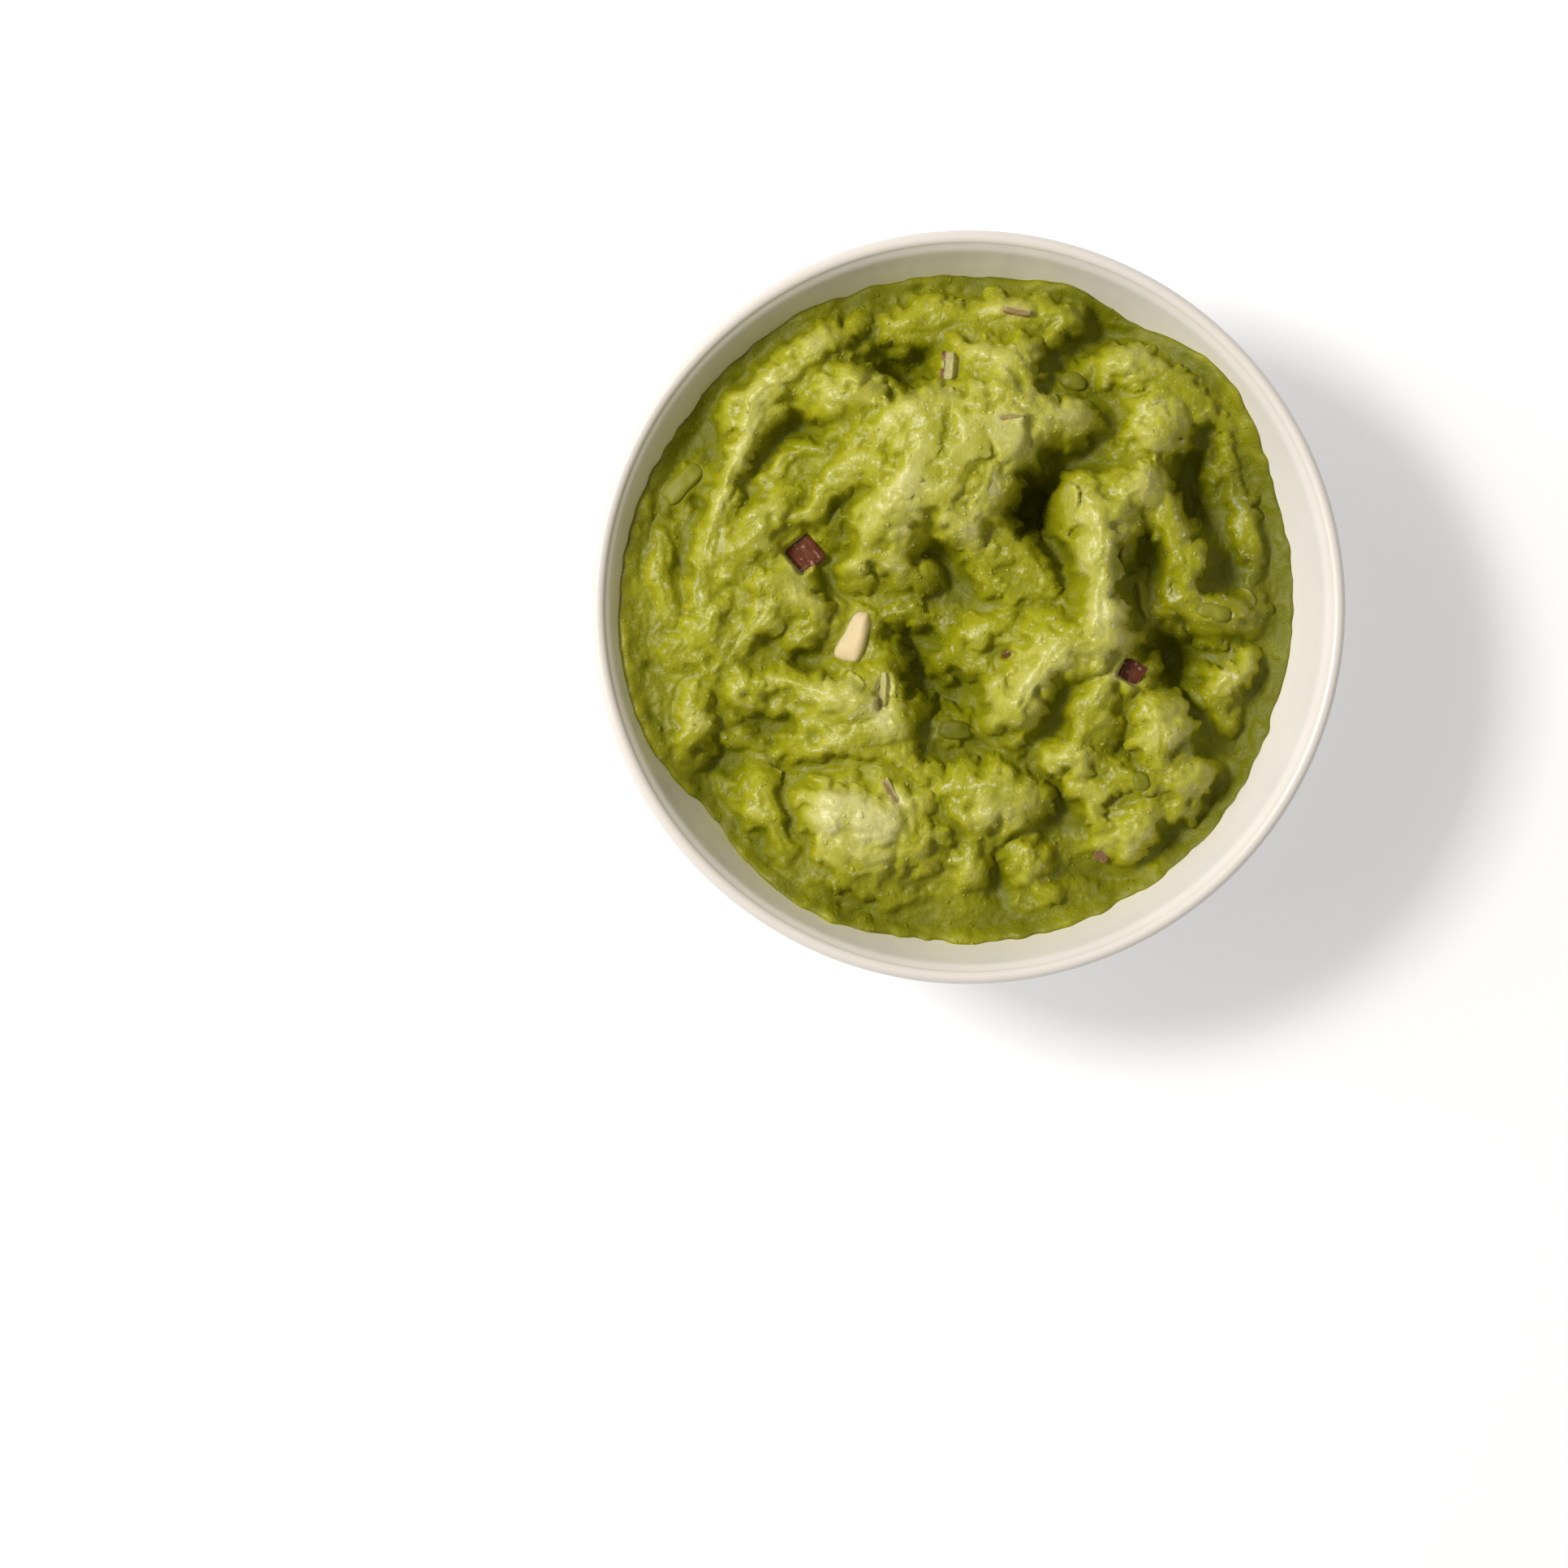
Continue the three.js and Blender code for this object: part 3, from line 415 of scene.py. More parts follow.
onion_look = onion_material()
for name, (*turns, skin_side, bare) in ONION_BITS.items():
    onion, own, half = set_bit(name, turns, bare, rounded_block(17, 0.22), 0.1, 1.6)
    under_skin = [half.z - skin_side * point.z if skin_side else NO_SKIN for point in own]
    paint(onion.data, "under_skin", under_skin)
    paint(onion.data, "faded_and_lightened", [FADED_AND_LIGHTENED.get(name, 0.0)] * len(own))
    onion.data.materials.append(onion_look)
    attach(onion, "root")
    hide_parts(name)

# ---- Whole bits of avocado ---------------------------------------------------------------
# Bits that the fork missed: smooth, waxy and rounded, cream where they come from the middle of
# the fruit and green where they lay under its skin.

# Turned and tipped as above, how round its edges are, how pale it is, and how it lies in the mash.
AVOCADO_BITS = {
    "avocado_chunk_cream": (-22, 0, -20, 0.5, 1.15, (0.92, 0.9, 2.8, 0.5)),
    "avocado_slice_left": (-44, 0, -18, 0.6, 0.28, (0.82, 0.72, 2.6, 0.2)),
    "avocado_slice_right": (12, 0, 30, 0.6, 0.28, (0.8, 0.7, 2.6, 0.4)),
    "avocado_chunk_side": (-8, 0, 0, 0.75, 0.3, (0.82, 0.8, 2.3, 0.5)),
    "avocado_chunk_middle": (-4, -10, 0, 0.85, 0.1, (0.82, 0.8, 2.3, 0.5)),
    "avocado_chunk_back": (-12, 0, 0, 0.85, 0.2, (0.8, 0.8, 2.3, 0.5)),
    "avocado_chunk_front": (20, 0, 0, 0.85, 0.22, (0.8, 0.8, 2.3, 0.5)),
}


def flesh_material():
    """Smooth avocado flesh, from deep green through yellow-green to cream."""
    shader = Shader("avocado flesh")
    own = shader.painted("own", "Vector")
    cloudy = shader.times(shader.noise(0.45, 3, 0.5, own), 0.16)
    green = shader.ramp(shader.plus(shader.painted("pale"), shader.math("SUBTRACT", cloudy, 0.08)), [
        (0.05, (0.13, 0.135, 0.002)), (0.3, (0.27, 0.265, 0.018)),
        (0.6, (0.50, 0.46, 0.11)), (0.9, (0.71, 0.565, 0.32)),
    ])
    grain = shader.noise(5.0, 3, 0.6, own)
    rough = shader.plus(shader.times(grain, 0.3), 0.3)
    shader.set(Base_Color=green, Roughness=rough, Normal=shader.bump(0.25, 0.15 * MM, grain))
    shader.set(Subsurface_Weight=0.6, Subsurface_Scale=0.0018, Subsurface_Radius=(1.0, 0.9, 0.3))
    shader.set(IOR=1.4, Specular_IOR_Level=0.3)
    return shader.material


flesh_look = flesh_material()
for name, (*turns, soft, paleness, bare) in AVOCADO_BITS.items():
    whole = name == "avocado_chunk_cream"
    taper, uneven = (0.38, 0.25) if whole else (0.2, 0.32)
    chunk, own, half = set_bit(name, turns, bare, rounded_block(17, soft), uneven, 2.4, taper)
    # its right side and its far end are greener
    green = [0.5 * max(0.0, p.x / half.x) ** 2 + 0.45 * max(0.0, p.y / half.y) ** 2 for p in own]
    # on the chunks this attribute holds only their own paleness, no painted light or shade
    paint(chunk.data, "pale", [paleness * (1 - share) for share in green])
    chunk.data.materials.append(flesh_look)
    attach(chunk, "root")
    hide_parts(name)

# ---- The mash ----------------------------------------------------------------------------
# Avocado broken up with a fork and spooned in, then folded over itself. Its large folds come from
# the frame's solid. Here it gets what a fork leaves: soft lumps, torn edges, pits and smears.

GRID_STEP = 0.25
GRID_HALF = 56.0
STROKE_SHARE = 0.9  # of what the strokes below say
CRISP_STEPS = 4
PIT_COUNT = 40
DEEPEST = -99.0
MASH_RINGS = 168
WALL_ROWS = 5
EDGE_ANGLES = 720
EDGE_WAVES = 34  # kept round the edge, which evens out finer teeth
EDGE_LIFT, RIGHT_LIFT = 0.6, 1.9  # how far past the solid's edge it is drawn, and what the right adds
EDGE_LIMIT = 53.2
# the film is partly a smear of mash and partly painted green light thrown back from the mash
FILM_AND_BOUNCE, FILM_AND_BOUNCE_REACH = 0.4, 3.5  # on the wall above the edge: how strong, and how far up it reaches
axis = np.arange(-GRID_HALF, GRID_HALF, GRID_STEP)
grid_x, grid_y = np.meshgrid(axis, axis)
grid_r = np.hypot(grid_x, grid_y)
draw = np.random.default_rng(11)


# What the spoon left: how deep, how wide and along which points, all in millimetres.
VALLEYS = [
    (2.2, 1.9, [(-47, 21), (-41, 29.5), (-36, 35), (-30, 40), (-24, 43.5), (-18, 45.5)]),
    (1.5, 1.0, [(-39, 26)]),
    (1.5, 1.5, [(-22.5, 28.5), (-25, 26), (-29, 23.5), (-33, 22.5)]),
    (1.8, 1.3, [(-16, 26.5), (-20, 24), (-23, 20), (-26, 16), (-29, 10)]),
    (2.2, 1.4, [(-15.5, 18.5), (-18.5, 15.5), (-19.8, 12), (-20, 8), (-21, 4)]),
    (1.3, 1.0, [(-11.5, 24), (-13, 21.5), (-15, 18.5)]),
    (2.5, 2.3, [(-19, 37.5), (-14, 36.5), (-9, 36), (-5.5, 37)]),
    (1.7, 1.5, [(-16, 41.5), (-14, 44), (-11, 47), (-8, 49)]),
    (1.3, 0.9, [(-3.5, 28), (-4.2, 24), (-5, 20)]),
    (1.4, 0.9, [(-38.5, 12.5), (-40.5, 8), (-41.7, 4), (-43, 0)]),
    (0.9, 0.8, [(-39, 20), (-42.5, 15.5)]),
    (1.2, 1.0, [(-28.5, 9), (-31, 6.5), (-34, 5.5)]),
    (2.0, 1.4, [(-14, 10), (-10, 8), (-6, 8.5), (-3, 7.5)]),
    (1.7, 2.5, [(-9, 3), (-5, 3.5), (0, 4.5)]),
    (2.0, 1.7, [(8.5, 21), (8.2, 17), (9.5, 13)]),
    (1.6, 1.4, [(10.5, 8.5), (13, 9), (15.5, 8)]),
    (2.0, 1.4, [(14.5, 24), (17, 23), (19.5, 22.5)]),
    (2.0, 2.2, [(9.5, 39.5), (13, 37), (16, 35), (19, 32.5)]),
    (1.6, 1.3, [(21, 30), (22.5, 27.5)]),
    (2.0, 2.2, [(18, 47), (21, 44), (24, 42), (20, 41)]),
    (2.0, 1.6, [(36.5, 27), (34, 24), (33.3, 20), (33.3, 15), (35, 11)]),
    (1.6, 1.3, [(26, 12), (27, 8.5), (27.5, 4.5)]),
    (1.6, 1.1, [(36, 3), (34, 1), (33, -2)]),
    (1.0, 0.6, [(-2, 36), (1.5, 36.3)]),
    (1.1, 0.8, [(20, 21.5), (24, 22), (28, 23)]),
    (1.3, 0.9, [(21, 17.5), (23.5, 15), (27.5, 14.5), (30, 17)]),
    (1.1, 1.0, [(15.5, 6), (17, 3), (16.5, 0)]),
    (1.3, 1.9, [(3, 12.5), (7, 12.5), (9, 10)]),
    (1.8, 3.0, [(-11, -5), (-9, -9), (-6, -13), (-3, -17)]),
    (2.0, 1.5, [(-39, -15.5), (-36, -18), (-31, -18.5), (-26, -18)]),
    (1.8, 1.7, [(-40.5, -23.5), (-36, -23), (-31, -24)]),
    (1.6, 1.0, [(-31, -5), (-27, -6.5), (-22, -8), (-20.5, -5)]),
    (2.0, 1.3, [(-32, -36), (-30, -37.5)]),
    (1.3, 1.2, [(-24.5, -31), (-24.8, -35), (-24, -38.5)]),
    (1.1, 1.0, [(-29, -26), (-28.2, -30), (-27, -34.5)]),
    (1.8, 1.1, [
        (-11, -21), (-7, -21.5), (-2, -23), (4, -21.5), (10, -21), (12.5, -17), (14, -13),
        (17, -10), (21, -9),
    ]),
    (1.3, 0.9, [(-3, -29), (-5, -32), (-8, -34.5)]),
    (1.3, 1.5, [(-12, -40.5), (-8, -42), (-6, -44.5)]),
    (1.4, 1.0, [(-26, -42.8), (-20, -42.8), (-18.5, -45), (-15.5, -47.5)]),
    (1.2, 1.6, [(-43, -27), (-38, -31), (-35.5, -36)]),
    (0.8, 0.6, [(-19.5, -26.5), (-18.8, -30), (-18.6, -34), (-18.5, -38)]),
    (1.2, 1.2, [(5, -6.5)]),
    (2.0, 2.3, [(33, -3), (30.5, -7), (32, -11), (34, -13.5)]),
    (2.0, 1.5, [(23.5, -21.5), (26, -24.5), (28.5, -26.5), (25, -28.5)]),
    (1.8, 1.5, [(35, -18), (35.5, -22)]),
    (1.8, 1.4, [(12, -26), (13.5, -29), (13, -32), (8, -34), (2, -35)]),
    (1.1, 0.9, [(16, -31), (18, -33)]),
    (1.6, 1.4, [(4.5, -37), (3.5, -41), (5, -44.5)]),
    (1.3, 2.0, [(14, -40), (18, -40), (22, -42)]),
    (1.2, 1.7, [(30, -36.5), (36, -31.5), (40, -26), (43.5, -19)]),
    (1.3, 0.9, [(17.5, -14.5), (22, -15), (26, -13)]),
    (1.0, 0.7, [(-6, 31.5), (0, 30), (6, 29.8), (12, 27.5)]),
    (1.1, 0.7, [(2.8, 27), (2.5, 23), (2, 20)]),
    (1.1, 0.8, [(8.5, 27), (8.8, 24)]),
    (1.0, 0.7, [(-8.5, 27), (-9.5, 23), (-11, 19)]),
    (1.0, 0.7, [(-14, 29), (-18, 26)]),
    (1.0, 0.8, [(1.5, 34), (7, 33.5), (11, 31.5)]),
    (1.0, 0.8, [(11, 36), (12.5, 33)]),
]
RIDGES = [
    (1.1, 1.5, [(43, 14), (44.6, 8.5)]),
    (1.1, 1.4, [(45.8, 1.5), (46.4, -3)]),
    (1.0, 1.4, [(41.5, -6.5), (44.6, -9.5)]),
    (0.9, 1.3, [(41, -17), (42.6, -19.5)]),
    (1.0, 2.3, [(-36, 26), (-33, 31), (-27, 37), (-22, 41.5)]),
    (0.9, 1.4, [(-42, 3), (-40, 10), (-37, 17), (-35, 22), (-33.5, 27)]),
    (1.0, 1.6, [(-24, 14), (-22, 17), (-18, 21), (-14, 25), (-9, 29), (-4, 32)]),
    (1.1, 1.8, [(-16, 11), (-13, 16), (-9, 21), (-6, 25)]),
    (0.8, 1.8, [(-17, 6)]),
    (0.8, 1.5, [(-3, 14), (-2, 20), (0, 24)]),
    (0.7, 2.5, [(-31, 13)]),
    (0.9, 2.8, [(26, 18.5)]),
    (0.9, 1.8, [(25, 27), (29.5, 26)]),
    (0.8, 1.6, [(33, 31), (38, 29), (41, 27.5)]),
    (0.8, 1.8, [(22, 37), (27, 38), (31, 36)]),
    (0.8, 1.8, [(15, 46), (14, 42)]),
    (0.7, 1.6, [(6, 36)]),
    (0.9, 2.2, [(5.5, 24)]),
    (0.7, 1.3, [(13, 31), (16, 30)]),
    (0.7, 3.0, [(-22, -30)]),
    (0.7, 3.0, [(-14, -32.5)]),
    (1.0, 0.8, [(-28, -43.2), (-22, -41.6), (-17, -40.4), (-12, -39.4)]),
    (0.8, 1.2, [(-33, -29), (-32, -34)]),
    (0.9, 2.5, [(6, -18), (9, -13), (11, -9), (15, -5.5), (20, -2)]),
    (0.9, 1.3, [(16, -14), (19, -12), (22.5, -10)]),
    (0.7, 1.5, [(19, -17.5)]),
    (0.8, 2.2, [(17, -23.5)]),
    (0.8, 2.5, [(3, -31)]),
    (0.8, 1.8, [(9, -38)]),
    (0.8, 1.3, [(21, -34)]),
    (0.8, 2.2, [(24.5, -34)]),
    (0.8, 1.5, [(38, -12), (43, -8)]),
    (0.8, 1.5, [(31, -28), (35, -25.5)]),
]


NOTHING = -1.0  # the height where a ray meets nothing


def merged_tree(pieces):
    """What a ray from above can hit: the meshes of these objects, as one tree, in millimetres."""
    corners, faces = [], []
    for piece in pieces:
        mesh = piece.data
        points = np.empty(len(mesh.vertices) * 3)
        mesh.vertices.foreach_get("co", points)
        first = len(corners)
        corners += [tuple(p) for p in points.reshape(-1, 3) / MM]
        mesh.calc_loop_triangles()
        faces += [tuple(first + v for v in t.vertices) for t in mesh.loop_triangles]
    return BVHTree.FromPolygons(corners, faces)


def heights_of(tree, xs, ys):
    """How high the tree stands at each place, or NOTHING."""
    down = Vector((0, 0, -1))
    out = np.full(len(xs), NOTHING)
    for i, (x, y) in enumerate(zip(xs, ys)):
        hit = tree.ray_cast(Vector((x, y, 100.0)), down)
        if hit[0] is not None:
            out[i] = hit[0].z
    return out


def blur(field, width):
    """A Gaussian blur, done on the whole grid at once."""
    waves = np.fft.fftfreq(len(axis), GRID_STEP)
    keep = np.exp(-2 * (math.pi * width) ** 2 * (waves[None, :] ** 2 + waves[:, None] ** 2))
    return np.fft.ifft2(np.fft.fft2(field) * keep).real


def cloud(wavelength):
    """Even random waves of about one wavelength, mean 0 and spread 1."""
    waves = np.fft.fftfreq(len(axis), GRID_STEP)
    band = np.exp(-((np.hypot(waves[None, :], waves[:, None]) * wavelength - 1) ** 2) / 0.35)
    field = np.fft.ifft2(np.fft.fft2(draw.standard_normal(grid_x.shape)) * band).real
    return field / field.std()


def sample(field, x, y):
    """Reads the grid between its points."""
    u = np.clip((x + GRID_HALF) / GRID_STEP, 0, len(axis) - 1.001)
    v = np.clip((y + GRID_HALF) / GRID_STEP, 0, len(axis) - 1.001)
    i, j = u.astype(int), v.astype(int)
    s, t = u - i, v - j
    low = field[j, i] * (1 - s) + field[j, i + 1] * s
    high = field[j + 1, i] * (1 - s) + field[j + 1, i + 1] * s
    return low * (1 - t) + high * t


def wall_height(radius):
    """Height at which the bowl's inner wall has this radius."""
    levels = np.linspace(FLOOR_TOP, BOWL_HEIGHT, 400)
    return np.interp(radius, inner_radius(levels), levels)


mash_tree = merged_tree([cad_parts["guacamole"]])


def heights_over(pieces):
    """The tops of small pieces over the grid, and 1 where there is one."""
    tree = merged_tree(pieces)
    tops = np.full(grid_x.shape, NOTHING)
    for piece in pieces:
        corners = np.array([v.co for v in piece.data.vertices]) / MM
        lo, hi = corners.min(axis=0), corners.max(axis=0)
        near = (grid_x > lo[0]) & (grid_x < hi[0]) & (grid_y > lo[1]) & (grid_y < hi[1])
        tops[near] = np.maximum(tops[near], heights_of(tree, grid_x[near], grid_y[near]))
    return tops, (tops > 0).astype(float)


_, covered = heights_over([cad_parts[name] for name in (*ONION_BITS, *AVOCADO_BITS)])
bit_top, shown = heights_over(shown_bits)

# the solid's own height, read at every second grid point
coarse_x, coarse_y = grid_x[::2, ::2], grid_y[::2, ::2]
inside = np.hypot(coarse_x, coarse_y) < 54
low = np.full(coarse_x.shape, NOTHING)
low[inside] = heights_of(mash_tree, coarse_x[inside], coarse_y[inside])
low = np.maximum(low, wall_height(np.hypot(coarse_x, coarse_y)))
base = np.repeat(np.repeat(low, 2, axis=0), 2, axis=1)[: len(axis), : len(axis)]

# close the clearance round each bit with the height of the mash about it
open_mash = np.clip(1 - 3 * blur(covered, 0.5), 0, 1)
around = blur(base * open_mash, 1.3) / np.maximum(blur(open_mash, 1.3), 1e-3)
base = base * open_mash + around * (1 - open_mash)

# its edge on the wall: the solid's own, drawn up a little, most at the right
edge_turns = np.arange(EDGE_ANGLES) * 2 * math.pi / EDGE_ANGLES
edge_radii = np.zeros(EDGE_ANGLES)
for radius in np.arange(44, 54, 0.1):
    found = heights_of(mash_tree, radius * np.cos(edge_turns), radius * np.sin(edge_turns))
    edge_radii[found > wall_height(radius) + 0.2] = radius
edge_radii += EDGE_LIFT + RIGHT_LIFT * np.maximum(0, np.cos(edge_turns + 0.17))
spectrum = np.fft.rfft(edge_radii)
spectrum[EDGE_WAVES:] = 0
edge_radii = np.minimum(np.fft.irfft(spectrum, EDGE_ANGLES), EDGE_LIMIT)
edge_noise = 0.14 * cloud(5.0) + 0.025 * cloud(2.2)
edge_radii += sample(edge_noise, edge_radii * np.cos(edge_turns), edge_radii * np.sin(edge_turns))


def edge_at(x, y):
    """How far out the edge lies in the direction of each place."""
    return np.interp(np.arctan2(y, x) % (2 * math.pi), edge_turns, edge_radii, period=2 * math.pi)


# the film that it leaves on the wall just above its edge, with painted green bounce light: strongest on the
# shaded left wall, faintest on the lit right one
bowl_points = np.empty(len(bowl.data.vertices) * 3)
bowl.data.vertices.foreach_get("co", bowl_points)
bowl_points = bowl_points.reshape(-1, 3) / MM
above = bowl_points[:, 2] - wall_height(edge_at(bowl_points[:, 0], bowl_points[:, 1]))
bowl_reach = np.hypot(bowl_points[:, 0], bowl_points[:, 1])
on_wall = np.abs(bowl_reach - inner_radius(bowl_points[:, 2])) < 0.3
film_and_bounce_share = FILM_AND_BOUNCE * (1 - 0.75 * bowl_points[:, 0] / np.maximum(bowl_reach, 1))
paint(bowl.data, "smear_and_bounce", film_and_bounce_share * np.exp(-np.abs(above) / FILM_AND_BOUNCE_REACH) * on_wall)

to_edge = edge_at(grid_x, grid_y) - grid_r
shoulder = wall_height(edge_at(grid_x, grid_y)) + 1.0 - 0.6 * to_edge + 0.3 * cloud(5.0)
base = np.where(to_edge < 6, np.maximum(base, shoulder), base)


def stroke(amount, width, points, roundness=1.0):
    """A groove or ridge along a line of points: the less round, the sharper its middle."""
    nearest = np.full(grid_x.shape, 1e6)
    for (x0, y0), (x1, y1) in zip(points, points[1:] or points):
        along_x, along_y = x1 - x0, y1 - y0
        share = (grid_x - x0) * along_x + (grid_y - y0) * along_y
        share = np.clip(share / max(along_x**2 + along_y**2, 1e-6), 0, 1)
        reach = (grid_x - x0 - share * along_x) ** 2 + (grid_y - y0 - share * along_y) ** 2
        nearest = np.minimum(nearest, reach)
    return amount * np.exp(-((nearest / width**2) ** roundness))


carved = sum(stroke(*ridge) for ridge in RIDGES)
carved -= np.max([stroke(*valley, 0.7) for valley in VALLEYS], axis=0)
base = base + STROKE_SHARE * carved * np.clip(to_edge / 3, 0, 1)


def opening_share(x0, y0, turn, half_length, half_width, squareness):
    """How far out each grid point lies in a turned opening: 1 is its edge."""
    dx, dy = grid_x - x0, grid_y - y0
    u = np.abs(dx * math.cos(turn) + dy * math.sin(turn)) / half_length
    v = np.abs(dy * math.cos(turn) - dx * math.sin(turn)) / half_width
    return (u**squareness + v**squareness) ** (1 / squareness)


# it heaps up to each bit's level, and leaves the bit's top bare
bared = np.zeros_like(base)
ragged = 0.08 * cloud(1.6)
beside = np.zeros_like(base)
bit_floor = np.full_like(base, -1.0)
for name, x0, y0, turn, half_length, half_width, squareness, level in openings:
    share = opening_share(x0, y0, turn, half_length, half_width, squareness)
    share = share + ragged * (squareness < 3.5)
    beyond = np.maximum(share - 1, 0) * min(half_length, half_width)
    heap = np.maximum(base, level - 2 * beyond)
    if name in AVOCADO_BITS:
        heap = np.minimum(heap, level + 0.7 * beyond)
    else:
        beside = np.maximum(beside, np.exp(-beyond))
    base = np.where(beyond < 2.5, heap, base)
    bit_floor = np.where(beyond < 0.4, np.maximum(bit_floor, level - 0.7), bit_floor)
    bared = np.maximum(bared, np.clip((1 - share) * min(half_length, half_width) / 0.4, 0, 1))
base = blur(base, 0.6)


def swell(field, width, sharpness):
    """A soft highest-value filter: rounds crests off and fills what is narrower than the width."""
    top = field.max()
    return top + np.log(np.maximum(blur(np.exp((field - top) * sharpness), width), 1e-30)) / sharpness


# the mash closes over narrow gaps and keeps its deep ones
swollen = swell(base, 0.9, 1.6) - 0.45
gain = np.clip(swollen - base, 0, None)
form = base + 0.5 * gain * np.exp(-gain / 2.2)

# which way the folds run, as the cosine and sine of twice the angle
slope_y, slope_x = np.gradient(blur(form, 0.8), GRID_STEP)
double_x = blur(slope_y**2 - slope_x**2, 1.6)
double_y = blur(-2 * slope_x * slope_y, 1.6)
flow = np.arctan2(double_y, double_x) / 2


def smeared(field, length):
    """Averages a field along the folds, as a spoon's stroke does."""
    total, count = field.copy(), 1
    for sign in (-1, 1):
        x, y = grid_x, grid_y
        last_x, last_y = sign * np.cos(flow), sign * np.sin(flow)
        for _ in range(int(length / 0.5)):
            x, y = x + 0.5 * last_x, y + 0.5 * last_y
            total += sample(field, x, y)
            count += 1
            turn = np.arctan2(sample(double_y, x, y), sample(double_x, x, y)) / 2
            next_x, next_y = np.cos(turn), np.sin(turn)
            keep = np.where(next_x * last_x + next_y * last_y < 0, -1, 1)
            last_x, last_y = keep * next_x, keep * next_y
    return total / count


def streaked(field, length):
    """Random streaks along the folds, mean 0 and spread 1."""
    streaks = smeared(field, length)
    return (streaks - streaks.mean()) / streaks.std()


form = 0.3 * form + 0.7 * smeared(form, 3.0)
form += 0.25 * (blur(form, 3.0) - blur(form, 9.0))
warp_x = 0.3 * cloud(6.0) + 0.15 * cloud(2.8)
warp_y = 0.3 * cloud(6.0) + 0.15 * cloud(2.8)
form = sample(form, grid_x + warp_x, grid_y + warp_y)


def crisper(field, steps, width):
    """Moves each slope's ends together, so soft rises turn into edges and their tops stay."""
    for _ in range(steps):
        soft = blur(field, width)
        bend = np.gradient(np.gradient(soft, axis=0), axis=0) + np.gradient(np.gradient(soft, axis=1), axis=1)
        steps_x = (np.roll(field, -1, 1) - field, field - np.roll(field, 1, 1))
        steps_y = (np.roll(field, -1, 0) - field, field - np.roll(field, 1, 0))
        rise = 0
        for ahead, behind in (steps_x, steps_y):
            least = np.where(ahead * behind > 0, np.minimum(np.abs(ahead), np.abs(behind)), 0)
            rise = rise + least**2
        field = field - 0.4 * np.tanh(bend / 0.01) * np.sqrt(rise)
    return field


inland = np.clip((to_edge - 1.5) / 3, 0, 1)
form = form * (1 - inland) + crisper(form, CRISP_STEPS, 0.7) * inland
slope_y, slope_x = np.gradient(blur(form, 1.8), GRID_STEP)


def add_lumps(field, tint, count, sizes, power, proud, long, bulge, soft):
    """Sets soft domes into the surface: ovals along the folds that stand proud by a share of their size."""
    reach = 52.0
    for _ in range(count):
        radius = reach * math.sqrt(draw.random())
        turn = draw.random() * 2 * math.pi
        x0, y0 = radius * math.cos(turn), radius * math.sin(turn)
        half = sizes[0] + (sizes[1] - sizes[0]) * draw.random() ** power
        length = half * (1 + (long - 1) * draw.random())
        i0, j0 = int((x0 + GRID_HALF) / GRID_STEP), int((y0 + GRID_HALF) / GRID_STEP)
        n = int(length / GRID_STEP) + 2
        window = (slice(max(j0 - n, 0), j0 + n), slice(max(i0 - n, 0), i0 + n))
        lean = flow[j0, i0] + draw.normal() * 0.6
        dx, dy = grid_x[window] - x0, grid_y[window] - y0
        u = (dx * math.cos(lean) + dy * math.sin(lean)) / length
        v = (dy * math.cos(lean) - dx * math.sin(lean)) / half
        share = np.minimum(u * u + v * v, 1.0)
        top = field[j0, i0] + half * (proud[0] + (proud[1] - proud[0]) * draw.random())
        # the dome leans with the surface it sits in
        tilt = 0.85 * (slope_x[j0, i0] * dx + slope_y[j0, i0] * dy)
        dome = top + tilt - half * bulge * (1 - np.sqrt(1 - share))
        dome[share >= 1.0] = DEEPEST
        old = field[window]
        mixed = np.maximum(old, dome) + np.maximum(soft - np.abs(old - dome), 0) ** 2 / (4 * soft)
        own = draw.random()
        cover = np.clip((dome - old) / soft + 0.5, 0, 1)
        tint[window] = tint[window] * (1 - cover) + own * cover
        field[window] = mixed


tint = np.full(form.shape, 0.5)
form += 0.08 * streaked(cloud(3.2), 3.0)
add_lumps(form, tint, 300, (1.0, 2.3), 1.4, (0.0, 0.14), 1.8, 0.9, 0.2)
rough_form = form.copy()
add_lumps(rough_form, tint, 1200, (0.6, 1.3), 1.5, (-0.02, 0.14), 1.6, 0.95, 0.2)
add_lumps(rough_form, tint, 2500, (0.4, 0.8), 1.3, (0.03, 0.22), 1.3, 1.0, 0.14)

for _ in range(PIT_COUNT):
    radius, turn = 50 * math.sqrt(draw.random()), draw.random() * 2 * math.pi
    half = 0.45 + 0.75 * draw.random()
    away = np.hypot(grid_x - radius * math.cos(turn), grid_y - radius * math.sin(turn)) / half
    rough_form -= 1.5 * half * np.exp(-(away**2))

detail = rough_form - form + 0.05 * streaked(cloud(1.4), 1.6) + 0.03 * cloud(0.9)

# the mash dips under each bit, and closes on its sides
bit_level = blur(bit_top * shown, 0.8) / np.maximum(blur(shown, 0.8), 1e-3)
under_bit = np.maximum(np.maximum(bit_top - 0.3, bit_level - 0.2), bit_floor)
bared = bared * np.clip(blur(shown, 0.3) * 1.6, 0, 1)
form = form * (1 - bared) + np.minimum(form, under_bit) * bared
detail = detail * (1 - bared)

# how far each place stands out from the mash about it; the mash's colour follows it, as painted shade in the
# folds and painted light on the crests
relief_shade = 0.24 * (rough_form - blur(rough_form, 2.6)) + 0.38 * (rough_form - blur(rough_form, 6.0))

